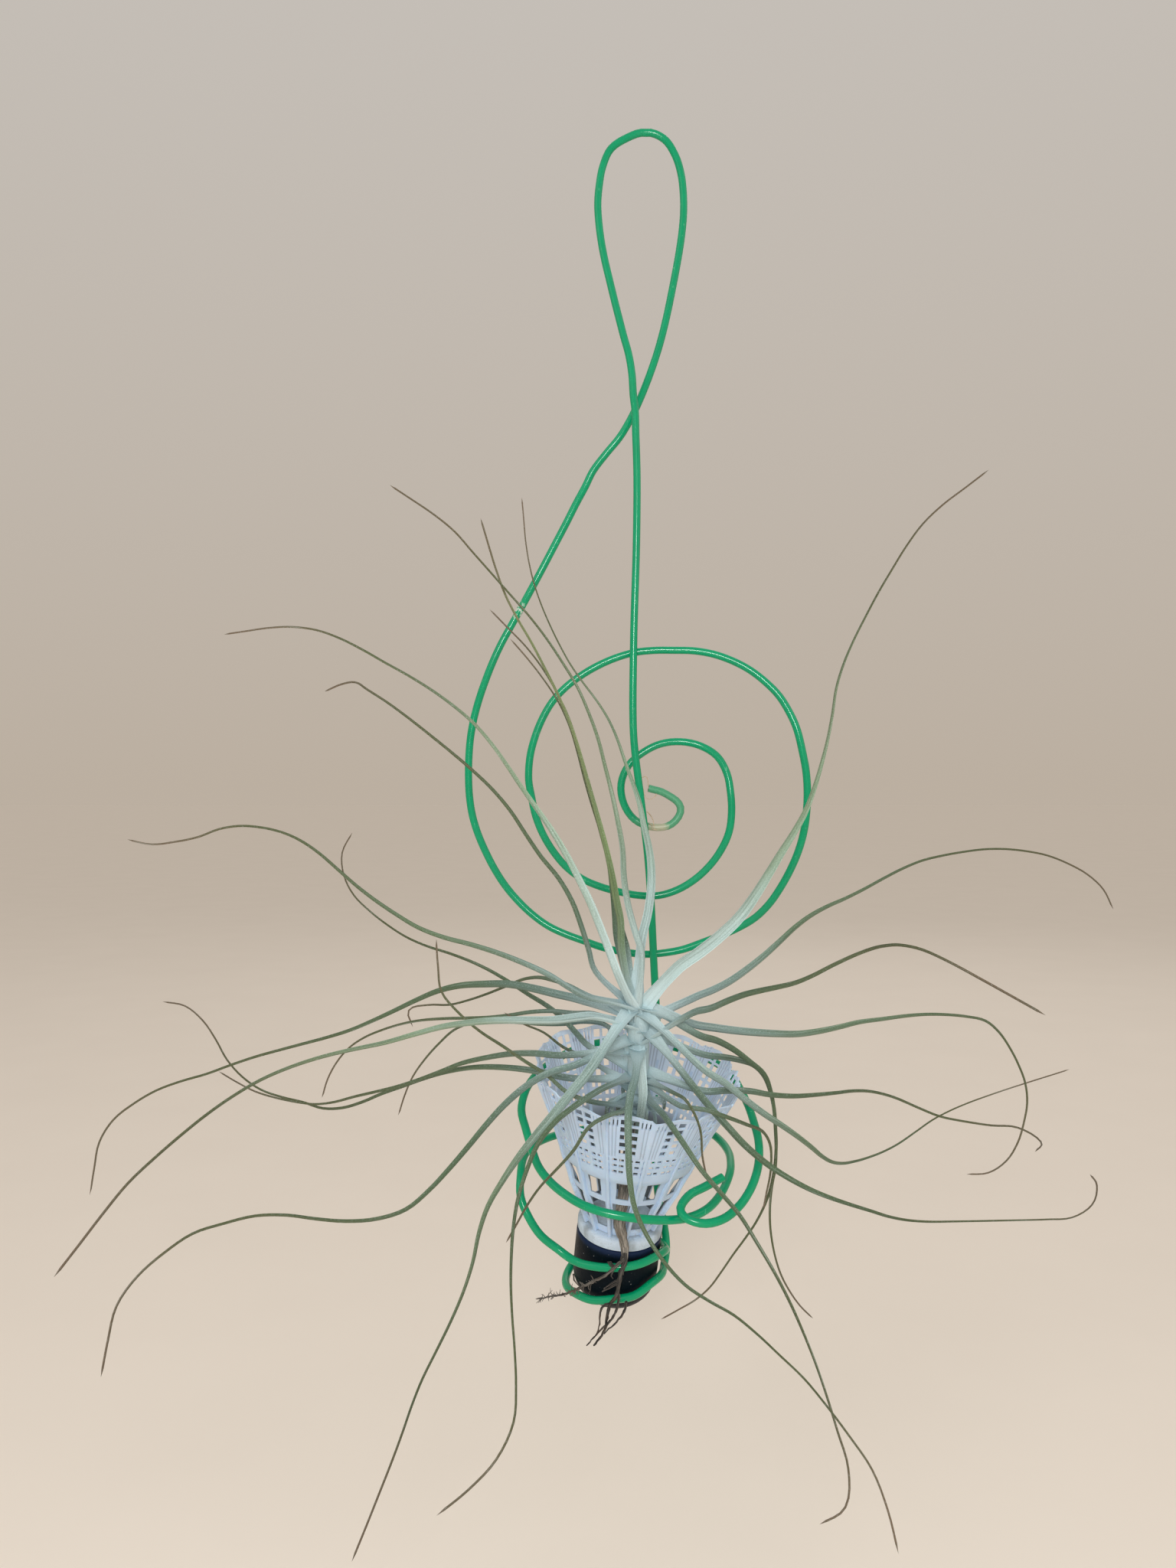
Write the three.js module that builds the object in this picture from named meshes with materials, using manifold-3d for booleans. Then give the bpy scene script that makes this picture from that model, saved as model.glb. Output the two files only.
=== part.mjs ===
// An air plant seated in an old nylon shuttlecock, held in a coil of green coated wire.
// The wire's upper part is bent into a treble clef and hangs by the loop at its top.
// Millimetres. +Z is up, +X is to the viewer's right, +Y goes into the wall.
// The origin is the centre of the wire at the top of the hanging loop.

import * as THREE from 'three';
import { mergeVertices } from 'three/addons/utils/BufferGeometryUtils.js';
import Module from 'manifold-3d';

// Most routes are written as [across, height, out]: where the point is seen against the wall
// from the viewer's eye, and how far it stands out from the wall towards the eye. Across and
// height are measured from the spot on the wall that the loop's top is seen against.
const wallSpot = new THREE.Vector3(0.4, 8, 4.5);
const eye = new THREE.Vector3(-20.1, -392, -216.9);

// Wire
const wireRadius = 1.2;
const wireSides = 6;
const wireStep = 6.5;

// The wire's runs, end to end. Each starts this far along it from its curled inner end.
const wireRuns = [
  { name: 'clef_curl', start: 0 },
  { name: 'clef_ring_top', start: 205 },
  { name: 'clef_ring_side', start: 330 },
  { name: 'clef_bow', start: 436 },
  { name: 'clef_loop', start: 640 },
  { name: 'clef_stem', start: 870 },
  { name: 'coil_base', start: 1130 },
  { name: 'coil_skirt', start: 1300 },
];

// Shuttlecock: a round skirt that narrows downwards, on a padded base. It leans forward.
const mouthCentre = new THREE.Vector3(-5.3, -37, -302.6);
const cupUp = new THREE.Vector3(0.094, -0.207, 0.974).normalize();
const skirtRadius = 32.1;
const skirtTaper = 0.435;
const skirtLength = 49.5;
const skirtWall = 0.9;
const skirtFacets = 42;
const ribCount = 14;
const ribTurn = -5;
const baseRadius = 13.2;
const padHeight = 3.5;
const baseStraight = 14;
const baseDome = 11;
const baseSides = 24;
const seatGap = 0.3;

// Openings in the skirt, all in line below one another, once for every rib. Down is measured
// from the mouth.
const windowRows = 5;
const windowTop = 1.4;
const windowPitch = 2.9;
const windowSize = 1.9;
const windowShrink = 0.12;
const windowBar = 0.6;
const slot = { top: 27, bottom: 33.5, topWidth: 3.3, bottomWidth: 3.1 };
const cell = { top: 35.5, bottom: 47, topWidth: 5.2, bottomWidth: 3.2 };
const cutDepth = 12;

// Plant
const stemFoot = new THREE.Vector3(-5.6, -44, -313.3);
const stemTip = new THREE.Vector3(-5.6, -58, -280.7);
const stemRadius = 3.2;
const stemSides = 10;
const goldenAngle = Math.PI * (3 - Math.sqrt(5));
const leafCount = 37;
const leafNeck = 2.4;
const neckLength = 14;
const leafTip = 0.7;
// Shares of a leaf's length where its blade starts to narrow and where it is down to a thread
const bladeFull = 0.1;
const bladeThin = 0.7;
const leafThickness = 1.1;
const bladeThickness = 0.6;
const leafFold = 0.16;
const leafStep = 7.5;

const wasm = await Module();
wasm.setup();

// Colours are written as they look, in sRGB.
function material(red, green, blue, roughness, metalness = 0) {
  const color = new THREE.Color().setRGB(red, green, blue, THREE.SRGBColorSpace);
  return new THREE.MeshStandardMaterial({ color, roughness, metalness });
}

const wireCoat = material(0.08, 0.62, 0.36, 0.25);
const nylon = material(0.86, 0.89, 0.93, 0.4);
const foam = material(0.85, 0.86, 0.85, 0.8);
const darkSkin = material(0.06, 0.07, 0.11, 0.35);
const silveryLeaf = material(0.52, 0.57, 0.5, 0.7);
const paleSheath = material(0.62, 0.66, 0.62, 0.75);
const deadStem = material(0.42, 0.36, 0.3, 0.9);

const model = new THREE.Group();
const cup = new THREE.Group();
cup.position.copy(mouthCentre);
cup.quaternion.setFromUnitVectors(new THREE.Vector3(0, 0, 1), cupUp);
cup.updateMatrixWorld();
model.add(cup);

function addPiece(group, name, geometry, pieceMaterial) {
  const mesh = new THREE.Mesh(geometry, pieceMaterial);
  mesh.name = name;
  group.add(mesh);
}

// The point seen at [across, height] on the wall, brought forward along the line of sight.
function seen([across, height, out]) {
  const onWall = new THREE.Vector3(across, 0, height).add(wallSpot);
  return onWall.lerp(eye, out / (wallSpot.y - eye.y));
}

// A point given by its bearing round the cup (0 faces the viewer, positive turns to the right),
// its depth below the mouth and its distance from the cup's axis.
function roundCup([bearing, down, radius]) {
  const angle = THREE.MathUtils.degToRad(bearing);
  const local = new THREE.Vector3(radius * Math.sin(angle), -radius * Math.cos(angle), -down);
  return cup.localToWorld(local);
}

function smoothCurve(points) {
  const curve = new THREE.CatmullRomCurve3(points, false, 'centripetal');
  curve.arcLengthDivisions = 1200;
  return curve;
}

// The stretch of a curve between two distances from its start
class Stretch extends THREE.Curve {
  constructor(whole, from, to) {
    super();
    this.whole = whole;
    this.from = from / whole.getLength();
    this.to = to / whole.getLength();
  }

  getPoint(share, target) {
    return this.whole.getPointAt(THREE.MathUtils.lerp(this.from, this.to, share), target);
  }
}

// Drops all but the positions and joins equal corners, so that the surface is closed.
function sealed(geometry) {
  geometry.deleteAttribute('normal');
  geometry.deleteAttribute('uv');
  return mergeVertices(geometry, 1e-4);
}

function toSolid(geometry) {
  const closed = sealed(geometry);
  const vertProperties = new Float32Array(closed.attributes.position.array);
  const triVerts = new Uint32Array(closed.index.array);
  return new wasm.Manifold(new wasm.Mesh({ numProp: 3, vertProperties, triVerts }));
}

function toGeometry(solid) {
  const mesh = solid.getMesh();
  const geometry = new THREE.BufferGeometry();
  geometry.setAttribute('position', new THREE.BufferAttribute(mesh.vertProperties, mesh.numProp));
  geometry.setIndex(new THREE.BufferAttribute(mesh.triVerts, 1));
  return geometry;
}

// A round bar along a curve, with closed ends.
function bar(curve, radius, sides, step) {
  const section = new THREE.Shape();
  for (let side = 0; side < sides; side += 1) {
    const angle = (2 * Math.PI * side) / sides;
    section.lineTo(radius * Math.cos(angle), radius * Math.sin(angle));
  }
  const steps = Math.max(2, Math.round(curve.getLength() / step));
  return new THREE.ExtrudeGeometry(section, { steps, extrudePath: curve });
}

// The wire, from its curled inner end, round the clef, over the hanging loop and down the stem
const clef = [
  [0, -223, 9], [9, -226, 9], [11, -231, 9], [6, -236, 9], [-4, -234, 8], [-9, -226, 8], [-8, -217, 8],
  [1, -209, 8], [10, -207, 8], [19, -209, 9], [25, -214, 9], [28, -225, 10], [27, -239, 10],
  [18, -252, 9], [5, -259, 8], [-10, -258, 8], [-25, -252, 8], [-35, -240, 8], [-40, -225, 8],
  [-40, -211, 8], [-33, -194, 8], [-22, -184, 8], [-6, -177, 8], [10, -176, 9], [21, -177, 10],
  [35, -183, 12], [47, -195, 14], [52, -209, 15], [54, -223, 15], [52, -241, 14], [44, -258, 12],
  [36, -267, 11], [19, -275, 9], [5, -279, 8], [-11, -278, 8], [-21, -275, 8], [-35, -269, 7],
  [-47, -258, 6], [-55, -245, 6], [-60, -231, 6], [-61, -213, 6], [-59, -198, 6], [-52, -178, 7],
  [-44, -163, 7], [-38, -152, 8], [-28, -133, 8], [-18, -114, 8], [-8, -101, 9], [2, -78, 8],
  [8, -54, 8], [12, -26, 8], [10, -10, 8], [5, -2, 8], [0, 0, 8], [-5, -1, 8], [-13, -6, 8],
  [-17, -21, 9], [-16, -37, 10], [-13, -51, 11], [-9, -67, 12], [-6, -79, 12.5], [-4, -110, 12.5],
  [-4, -137, 12.5], [-5, -174, 12.5], [-5, -205, 12.5], [-3, -223, 12.5], [0, -248, 12.5],
  [2, -285, 12.5], [3, -309, 12.5], [2, -330, 12.5], [2, -342, 13.5], [3, -357, 15],
];

// Then the coil: once round the base, and outwards and up round the skirt to the cut end
const coil = [
  [138, 57, 21], [125, 60, 19], [113, 63.5, 17.5], [102, 65.5, 16], [87, 66, 15], [70, 65, 15],
  [49, 64.5, 15], [22, 67, 15], [-1, 68, 15], [-24, 70, 15], [-45, 71, 15], [-75, 73, 15],
  [-100, 73.5, 15], [-135, 71, 15], [-170, 67.5, 15], [-205, 64, 15], [-240, 61.5, 15],
  [-265, 60, 15], [-288, 57, 15], [-305, 56, 15], [-329, 56, 15], [-349, 57, 15],
  [-376, 58, 15], [-397, 59, 16], [-416, 59, 18], [-427, 57, 21], [-431, 54, 25],
  [-435, 50, 28], [-441, 46, 31], [-450, 40, 32], [-471, 37, 33], [-496, 37, 32], [-522, 36, 30],
  [-547, 34, 30], [-570, 33, 33], [-590, 31, 36], [-607, 31, 35], [-629, 30, 32], [-641, 31, 31],
  [-663, 33, 30], [-680, 34, 29], [-706, 33, 28], [-741, 32, 28], [-765, 31, 28], [-787, 29, 29],
  [-806, 24, 31], [-818, 20, 34], [-828, 17, 35], [-841, 15, 36], [-857, 13, 37], [-873, 10, 37],
  [-889, 8, 36], [-913, 7, 36], [-929, 8, 38], [-939, 9, 40], [-952, 10, 40], [-971, 13, 38],
  [-979, 15, 38], [-997, 19, 39], [-1013, 23, 40], [-1025, 27, 40], [-1036, 30, 39],
  [-1046, 31, 36], [-1051, 31, 33], [-1051, 29, 30], [-1045, 28, 28], [-1034, 27, 28],
  [-1018, 25, 31],
];

const wireCurve = smoothCurve([...clef.map(seen), ...coil.map(roundCup)]);
wireRuns.forEach(({ name, start }, index) => {
  const next = wireRuns[index + 1];
  const end = next ? next.start - seatGap : wireCurve.getLength();
  const run = new Stretch(wireCurve, start, end);
  addPiece(model, name, bar(run, wireRadius, wireSides, wireStep), wireCoat);
});

// Shuttlecock, built upright with its mouth at height 0
function lathed(outline, sides) {
  const points = outline.map(([radius, height]) => new THREE.Vector2(radius, height));
  const geometry = new THREE.LatheGeometry(points, sides);
  return geometry.rotateX(Math.PI / 2);
}

const radiusAt = (down) => skirtRadius - skirtTaper * down;

// The block that one opening takes out of the skirt
function opening(bearing, shift, { top, bottom, topWidth, bottomWidth }) {
  const outline = new THREE.Shape();
  outline.moveTo(shift - topWidth / 2, -top);
  outline.lineTo(shift + topWidth / 2, -top);
  outline.lineTo(shift + bottomWidth / 2, -bottom);
  outline.lineTo(shift - bottomWidth / 2, -bottom);
  const block = new THREE.ExtrudeGeometry(outline, { depth: cutDepth, bevelEnabled: false });
  block.translate(0, 0, radiusAt((top + bottom) / 2) - cutDepth / 2);
  block.rotateX(Math.PI / 2);
  block.rotateZ(THREE.MathUtils.degToRad(bearing));
  return toSolid(block);
}

function skirtSolid() {
  const low = radiusAt(skirtLength);
  const wall = lathed([
    [skirtRadius - skirtWall, 0],
    [low - skirtWall, -skirtLength],
    [low, -skirtLength],
    [skirtRadius, 0],
    [skirtRadius - skirtWall, 0],
  ], skirtFacets);
  let skirt = toSolid(wall);
  for (let rib = 0; rib < ribCount; rib += 1) {
    const bearing = ribTurn + (360 * rib) / ribCount;
    for (let row = 0; row < windowRows; row += 1) {
      const top = windowTop + windowPitch * row;
      const size = windowSize - windowShrink * row;
      const pane = { top, bottom: top + size, topWidth: size, bottomWidth: size };
      const shift = (size + windowBar) / 2;
      skirt = skirt.subtract(opening(bearing, shift, pane));
      skirt = skirt.subtract(opening(bearing, -shift, pane));
    }
    skirt = skirt.subtract(opening(bearing, 0, slot));
    skirt = skirt.subtract(opening(bearing, 0, cell));
  }
  return skirt;
}

addPiece(cup, 'shuttle_skirt', toGeometry(skirtSolid()), nylon);

const padTop = -skirtLength - seatGap;
const padChamfer = 0.8;
const padOutline = [
  [0, padTop - padHeight],
  [baseRadius, padTop - padHeight],
  [baseRadius, padTop - padChamfer],
  [baseRadius - padChamfer, padTop],
  [0, padTop],
];
addPiece(cup, 'base_pad', sealed(lathed(padOutline, baseSides)), foam);

const baseTop = padTop - padHeight - seatGap;
const baseOutline = [];
const domeSteps = 6;
for (let step = 0; step <= domeSteps; step += 1) {
  const angle = (Math.PI / 2) * (step / domeSteps);
  baseOutline.push([baseRadius * Math.sin(angle), baseTop - baseStraight - baseDome * Math.cos(angle)]);
}
baseOutline.push([baseRadius, baseTop]);
baseOutline.push([0, baseTop]);
addPiece(cup, 'shuttle_base', sealed(lathed(baseOutline, baseSides)), darkSkin);

// Plant stem, wrapped in the feet of the leaves
const stemAxis = stemTip.clone().sub(stemFoot);
const stemLength = stemAxis.length();
const stemUp = stemAxis.clone().normalize();
const stemTurn = new THREE.Quaternion().setFromUnitVectors(new THREE.Vector3(0, 0, 1), stemUp);
const stemOutline = [
  [0, 0],
  [stemRadius * 0.85, 0],
  [stemRadius, 1],
  [stemRadius, stemLength],
  [stemRadius * 0.6, stemLength + 2.5],
  [0, stemLength + 3.5],
];
const stem = lathed(stemOutline, stemSides).applyQuaternion(stemTurn).translate(...stemFoot);
addPiece(model, 'plant_stem', sealed(stem), paleSheath);

// Old stem below the living one, with its roots. It hangs down inside the cup, comes out through
// the lowest opening at the front and lies over the base.
const oldStemRoute = [
  [-5, -340, 52], [-7, -349, 52], [-8, -358, 51], [-9, -365, 49], [-10, -370, 50], [-9, -374, 50],
  [-8, -379, 50], [-8, -383, 52],
];
const roots = [
  { radius: 0.8, route: [[-8, -381, 51], [-8, -386, 53], [-10, -391, 53], [-10, -395, 53], [-13, -398, 52],
    [-15, -401, 50], [-16, -405, 49], [-17, -411, 48], [-21, -412, 47]] },
  { radius: 0.6, route: [[-8, -384, 52.5], [-12, -386, 53], [-17, -389, 52], [-23, -392, 51], [-27, -393, 49],
    [-32, -395, 47], [-38, -396, 45]] },
  { radius: 0.5, route: [[-10, -394, 53], [-10, -400, 51], [-11, -404, 49], [-14, -407, 48]] },
  { radius: 0.5, route: [[-10, -391, 53], [-14, -392, 53], [-16, -394, 52]] },
  { radius: 0.4, route: [[-22, -392, 51], [-25, -390, 50], [-26, -388, 49]] },
  { radius: 0.4, route: [[-27, -393, 49], [-29, -397, 48]] },
  { radius: 0.4, route: [[-16, -388.5, 52], [-14, -385, 53]] },
];
const oldStemTop = stemFoot.clone().addScaledVector(stemUp, -seatGap);
const oldStemDip = stemFoot.clone().addScaledVector(stemUp, -4);
const oldStemCurve = smoothCurve([oldStemTop, oldStemDip, ...oldStemRoute.map(seen)]);
let oldStem = toSolid(bar(oldStemCurve, 1.6, 6, 5));
for (const { radius, route } of roots) {
  oldStem = oldStem.add(toSolid(bar(smoothCurve(route.map(seen)), radius, 5, 3)));
}
addPiece(model, 'old_stem', toGeometry(oldStem), deadStem);

// Leaves. Each is one narrow, channelled blade that tapers to a thread, and grows from its own
// seat: the seats climb the stem a golden angle apart, and seat 1 is the lowest.
const leaves = [
  { name: 'upright_a', seat: 37, width: 1.9, route: [[-7.7, -258, 81], [-8.7, -243.5, 81],
    [-10, -235.9, 81], [-12.3, -225, 81], [-14.5, -216.4, 82], [-17.5, -205, 83], [-24, -188.9, 85],
    [-29, -180.6, 86], [-37.6, -168.1, 87], [-47.3, -156.8, 87], [-58.1, -144.6, 86],
    [-67.6, -134.1, 84], [-87.9, -119.8, 81]] },
  { name: 'upright_b', seat: 36, width: 2.4, route: [[-9.2, -271.9, 72], [-10.8, -262, 76],
    [-13.1, -248.7, 81], [-17, -232.8, 83], [-20.7, -219.5, 84], [-22.8, -211.6, 85],
    [-26.2, -201.3, 85], [-28.8, -194.6, 85], [-38.2, -175.6, 85], [-48.2, -157.5, 84],
    [-57, -131, 81]] },
  { name: 'upright_c', seat: 33, width: 1.8, route: [[-13.4, -248.6, 56], [-16.7, -236, 59],
    [-21.1, -219.7, 62], [-24.1, -207.6, 61], [-27.3, -197.9, 60], [-38.2, -178.8, 58],
    [-54, -162, 56]] },
  { name: 'upright_d', seat: 30, width: 1.8, route: [[-10, -267.6, 64], [-12.6, -254, 69],
    [-15.1, -241.5, 72], [-17.6, -233.7, 73], [-21.6, -220.4, 73], [-25.2, -207, 73],
    [-28.9, -196.7, 73], [-37.1, -183.8, 73], [-47, -172, 72]] },
  { name: 'upright_e', seat: 35, width: 2.6, route: [[-2.3, -276.2, 62], [-0.5, -267.6, 60],
    [1, -256.7, 56], [0.7, -246.3, 51], [-1.3, -236.9, 45], [-3.6, -226, 40], [-6.8, -217.4, 36],
    [-10.7, -206, 33], [-15, -197, 30], [-27, -180, 26], [-37, -159, 23], [-41, -144, 20],
    [-43, -124, 17]] },
  { name: 'upper_left_a', seat: 34, width: 2.5, route: [[-20.4, -260.7, 86], [-25.3, -250.8, 86],
    [-30.6, -240.7, 86], [-36.6, -231.7, 84], [-44, -221, 81], [-50.3, -211.6, 79],
    [-57.6, -202.3, 77], [-66.8, -194.2, 76], [-77.5, -186.8, 75], [-89.3, -180.1, 74],
    [-103, -172.6, 72], [-113.4, -168.9, 70], [-124.1, -168, 68], [-144.1, -170.6, 62]] },
  { name: 'upper_left_b', seat: 28, width: 1.7, route: [[-24.6, -263.8, 76], [-27.3, -257.9, 75],
    [-30.8, -252.5, 75], [-37, -244.9, 74], [-38.8, -242.4, 74], [-45.8, -231.4, 76],
    [-51.5, -224.3, 77], [-60.5, -215.6, 77], [-69.8, -207.8, 77], [-76.6, -202.4, 76],
    [-85.7, -195.4, 75], [-95.3, -189.1, 72], [-101, -186.4, 64], [-110, -190, 56]] },
  { name: 'upper_right', seat: 32, width: 3.6, route: [[9.2, -284.3, 72], [18, -277.6, 74],
    [29.2, -268, 76], [36.8, -257.9, 74], [43.2, -247.3, 71], [48.1, -239.7, 69],
    [53.7, -229.5, 67], [58.2, -216.2, 64], [60.9, -205.8, 62], [62.4, -197.8, 62],
    [63.9, -188.1, 62], [67.3, -177.8, 63], [73.9, -164.1, 64], [81.2, -150.9, 66],
    [94.3, -131.7, 72], [115.7, -114.6, 81]] },
  { name: 'right_a', seat: 22, width: 2.5, route: [[14.1, -295.2, 51], [24.2, -290.6, 43],
    [30.1, -287.1, 39], [35.3, -283.2, 36], [40.5, -278.9, 33], [46.2, -273.6, 30],
    [52, -268.3, 26], [58.8, -263.9, 22], [64.9, -261.1, 19], [70.8, -258.3, 17], [78.6, -254, 15],
    [86.5, -249.9, 13], [94.1, -246.9, 12], [115.2, -243.3, 9], [126.6, -243.8, 8],
    [136.3, -245.7, 7], [145.7, -249.8, 7], [150.9, -253.2, 7], [155.3, -257.9, 7],
    [158, -264, 7]] },
  { name: 'right_b', seat: 27, width: 2.5, route: [[10.5, -299.9, 72], [16.1, -299.2, 77],
    [21.3, -297.6, 82], [29.4, -294, 90], [36.2, -292, 98], [45, -290, 107], [51.6, -288.1, 114],
    [58.5, -284.7, 121], [65, -281.4, 126], [74.6, -277.4, 135], [82.6, -275.9, 147],
    [88.2, -276.3, 153], [95.6, -278.6, 159], [110.3, -286.2, 168], [135, -300, 180]] },
  { name: 'right_c', seat: 14, width: 2.8, route: [[14, -303.7, 62], [25.2, -305, 57],
    [40, -306.3, 51], [47.8, -306.5, 48], [53.4, -306.3, 45], [59, -305.3, 43], [66.2, -303.7, 40],
    [71.1, -302.4, 38], [81.1, -301, 36], [90.1, -299.8, 34], [98.2, -299.5, 32],
    [109.3, -300.4, 29], [116.4, -302.6, 26], [124.7, -313.8, 20], [129, -327.2, 16],
    [126.1, -342.2, 12], [124, -346.4, 11], [120.7, -350.6, 10], [116.1, -353.4, 9],
    [110.4, -354.4, 7], [108, -354, 7]] },
  { name: 'right_d', seat: 24, width: 2.2, route: [[12.2, -306.3, 72], [18.5, -307.2, 67],
    [23.9, -308.9, 63], [28.1, -311, 60], [32.1, -314.1, 58], [35.9, -316.7, 56],
    [39.3, -319.6, 54], [41.3, -323.6, 52], [42.6, -329, 49], [43.1, -333.1, 47],
    [43.5, -339.4, 44], [43.6, -350.2, 38], [42.7, -355.3, 36], [41.8, -361.7, 33],
    [41.6, -369.2, 30], [42.1, -375.3, 27], [43.7, -383.2, 24], [45.7, -388.9, 21],
    [50.6, -397.2, 17], [56, -403, 14]] },
  { name: 'right_e', seat: 19, width: 1.9, route: [[9.6, -312.8, 68], [14.9, -312.9, 66],
    [24.1, -314, 62], [29.4, -314.8, 57], [36.8, -317.4, 50], [40.3, -321.9, 45], [42.7, -330, 40],
    [43.4, -337.3, 36], [43.7, -344.3, 33], [43.3, -350.4, 31], [41.9, -358.1, 28],
    [39.6, -364.8, 25], [36.6, -370.6, 23], [31.9, -377.4, 20], [27.8, -382.9, 18],
    [21.9, -391.4, 15], [16.9, -396.1, 12], [4.2, -403.3, 7]] },
  { name: 'right_f', seat: 6, width: 2.2, route: [[14, -325.4, 66], [20.7, -325.9, 64],
    [28.2, -325.6, 62], [33.4, -325.7, 60], [39.3, -326.6, 57], [44, -327.3, 55],
    [50.2, -327.4, 53], [56.1, -327, 50], [66, -326, 46], [72.9, -325.4, 41], [78.9, -326.3, 38],
    [85.2, -328.2, 37], [89.1, -329.9, 37], [98.1, -333.8, 37], [109, -336.1, 38],
    [121.5, -337.8, 40], [126.3, -338.2, 41], [133.9, -343.5, 46], [131.3, -346.4, 51]] },
  { name: 'right_g', seat: 29, width: 2.1, route: [[9.3, -314.4, 76], [16.8, -317.4, 75],
    [22.9, -321, 74], [26.7, -323.6, 73], [30.9, -327.1, 72], [34.8, -330.2, 71],
    [41.9, -335.3, 69], [47.5, -338.8, 66], [55, -344.4, 61], [59.5, -348.1, 54],
    [64.1, -350.2, 47], [72.9, -348.8, 33], [78.6, -346.8, 29], [85.9, -343, 24],
    [92.5, -338.3, 21], [96.2, -335.7, 19], [104.8, -331.3, 15], [118.4, -326.2, 11],
    [143.1, -318.3, 7]] },
  { name: 'right_h', seat: 16, width: 2.1, route: [[9.6, -322.5, 68], [15.4, -326.1, 71],
    [22.9, -333.3, 74], [27.9, -339.1, 75], [34.2, -345.6, 74], [43.1, -352.6, 73],
    [50, -356.6, 71], [55.4, -359.4, 70], [63.3, -362.5, 67], [76.6, -366.7, 62], [84.6, -369, 57],
    [94.1, -370, 53], [106.8, -369.9, 50], [118.1, -369.7, 49], [131.1, -369.4, 47],
    [140.7, -368.9, 46], [148.3, -367.4, 47], [152.3, -358.9, 51], [150, -354, 56]] },
  { name: 'right_i', seat: 3, width: 1.8, route: [[5, -334, 80], [10.1, -341, 86],
    [14.5, -347.6, 90], [17.3, -351.7, 92], [21.3, -356.7, 95], [25.7, -361.5, 97],
    [29.5, -365.8, 99], [33, -370.9, 101], [38, -379.1, 104], [46, -393.1, 109],
    [56.1, -416.2, 120], [63.3, -438.1, 130], [68.3, -457.2, 136], [65.8, -469.3, 139],
    [58, -473, 141]] },
  { name: 'cup_right_a', seat: 8, width: 1.6, route: [[6, -328, 62], [12, -331, 77], [20, -332, 78],
    [31, -336, 74], [40, -340, 66], [42, -350, 56], [39, -366, 45]] },
  { name: 'cup_right_b', seat: 11, width: 1.2, route: [[7, -326, 71], [12, -328, 84],
    [17, -335, 85], [18, -345, 84], [20, -356, 81]] },
  { name: 'front_a', seat: 13, width: 2.2, route: [[-4.5, -321.9, 82], [-6.5, -329.5, 90],
    [-6.8, -335, 95], [-6.8, -341.4, 97], [-6.6, -348.3, 98], [-6.3, -355.7, 100],
    [-5.1, -363.5, 102], [-3.4, -369, 103], [0, -375.7, 106], [2.9, -380.2, 108],
    [6.9, -385.8, 111], [11.3, -390.5, 114], [16.5, -394.6, 118], [22.1, -397.8, 121],
    [27.1, -400.5, 124], [31, -403.3, 127], [37, -408.3, 131], [42.7, -413.7, 136],
    [47.5, -418.1, 139], [53, -423.5, 143], [63.6, -436.7, 152], [77.9, -458, 161],
    [85, -483, 166]] },
  { name: 'front_b', seat: 5, width: 1.5, route: [[-8, -332, 76], [-12, -333.4, 82],
    [-15.8, -334.4, 86], [-18.4, -335.8, 87], [-22.1, -340.1, 88], [-25.2, -345.2, 88],
    [-27.8, -348.5, 87], [-29.2, -350, 87], [-33.6, -354.5, 85], [-38.9, -360.6, 83],
    [-48.4, -377.3, 76]] },
  { name: 'front_c', seat: 21, width: 3.4, route: [[-1.6, -309, 66], [-1.6, -316, 67],
    [-2, -324, 68], [-2.5, -331, 67], [-3.3, -338, 64], [-4, -345, 60], [-4.6, -352, 56]] },
  { name: 'left_a', seat: 23, width: 3, route: [[-15, -301.4, 72], [-33.1, -302, 86],
    [-54.2, -302, 100], [-72.2, -304.3, 111], [-86.9, -308.5, 116], [-101.9, -311.7, 120],
    [-115.2, -315.1, 123], [-131.2, -321.4, 128], [-148.5, -332.3, 137], [-169.7, -350, 150],
    [-177.3, -357.4, 155], [-202, -389, 171]] },
  { name: 'left_b', seat: 25, width: 2.9, route: [[-17.2, -296.8, 61], [-27.7, -294, 57],
    [-38.1, -291.4, 54], [-46.1, -289.8, 52], [-54.2, -289.6, 51], [-62, -289.8, 50],
    [-70, -291.3, 48], [-80, -295.3, 46], [-89.7, -299.9, 45], [-103.4, -305.6, 44],
    [-113.8, -308.5, 44], [-133.4, -313.8, 45], [-140.1, -316, 46], [-152.5, -320.5, 47],
    [-166.2, -324.8, 49], [-184.8, -338.9, 52], [-189.8, -361.1, 56]] },
  { name: 'left_c', seat: 31, width: 2.2, route: [[-16.8, -295.4, 75], [-23.1, -292.6, 81],
    [-30.1, -288.3, 86], [-35.4, -285.1, 87], [-54, -277.5, 87], [-74.9, -271.3, 85],
    [-85.6, -265.3, 82], [-94.6, -259.1, 79], [-100.7, -254.2, 76], [-107.8, -247.9, 73],
    [-115.2, -241.9, 70], [-124.7, -237.3, 65], [-134.2, -235.5, 61], [-143.6, -235.8, 57],
    [-152.4, -239, 54], [-162.2, -241, 52], [-172.4, -241.6, 51], [-177, -240.2, 51]] },
  { name: 'left_d', seat: 17, width: 1.9, route: [[-14.9, -315.1, 56], [-17.5, -313, 52],
    [-21.3, -309.6, 47], [-24.3, -306.5, 42], [-26.8, -303.7, 39], [-30.7, -299.7, 35],
    [-34.8, -296.6, 32], [-38.4, -294.4, 30], [-44.1, -290.8, 27], [-49, -287.5, 24],
    [-54.3, -284.5, 22], [-62.5, -280.7, 19], [-68.9, -278.4, 18], [-75.2, -276.4, 16],
    [-80.1, -274.5, 15], [-85.8, -271, 13], [-91.6, -267.2, 12], [-95.7, -263.5, 11],
    [-100.4, -258.7, 10], [-102.7, -254.7, 9], [-104.2, -245.6, 7], [-100.5, -237.8, 7]] },
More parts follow.
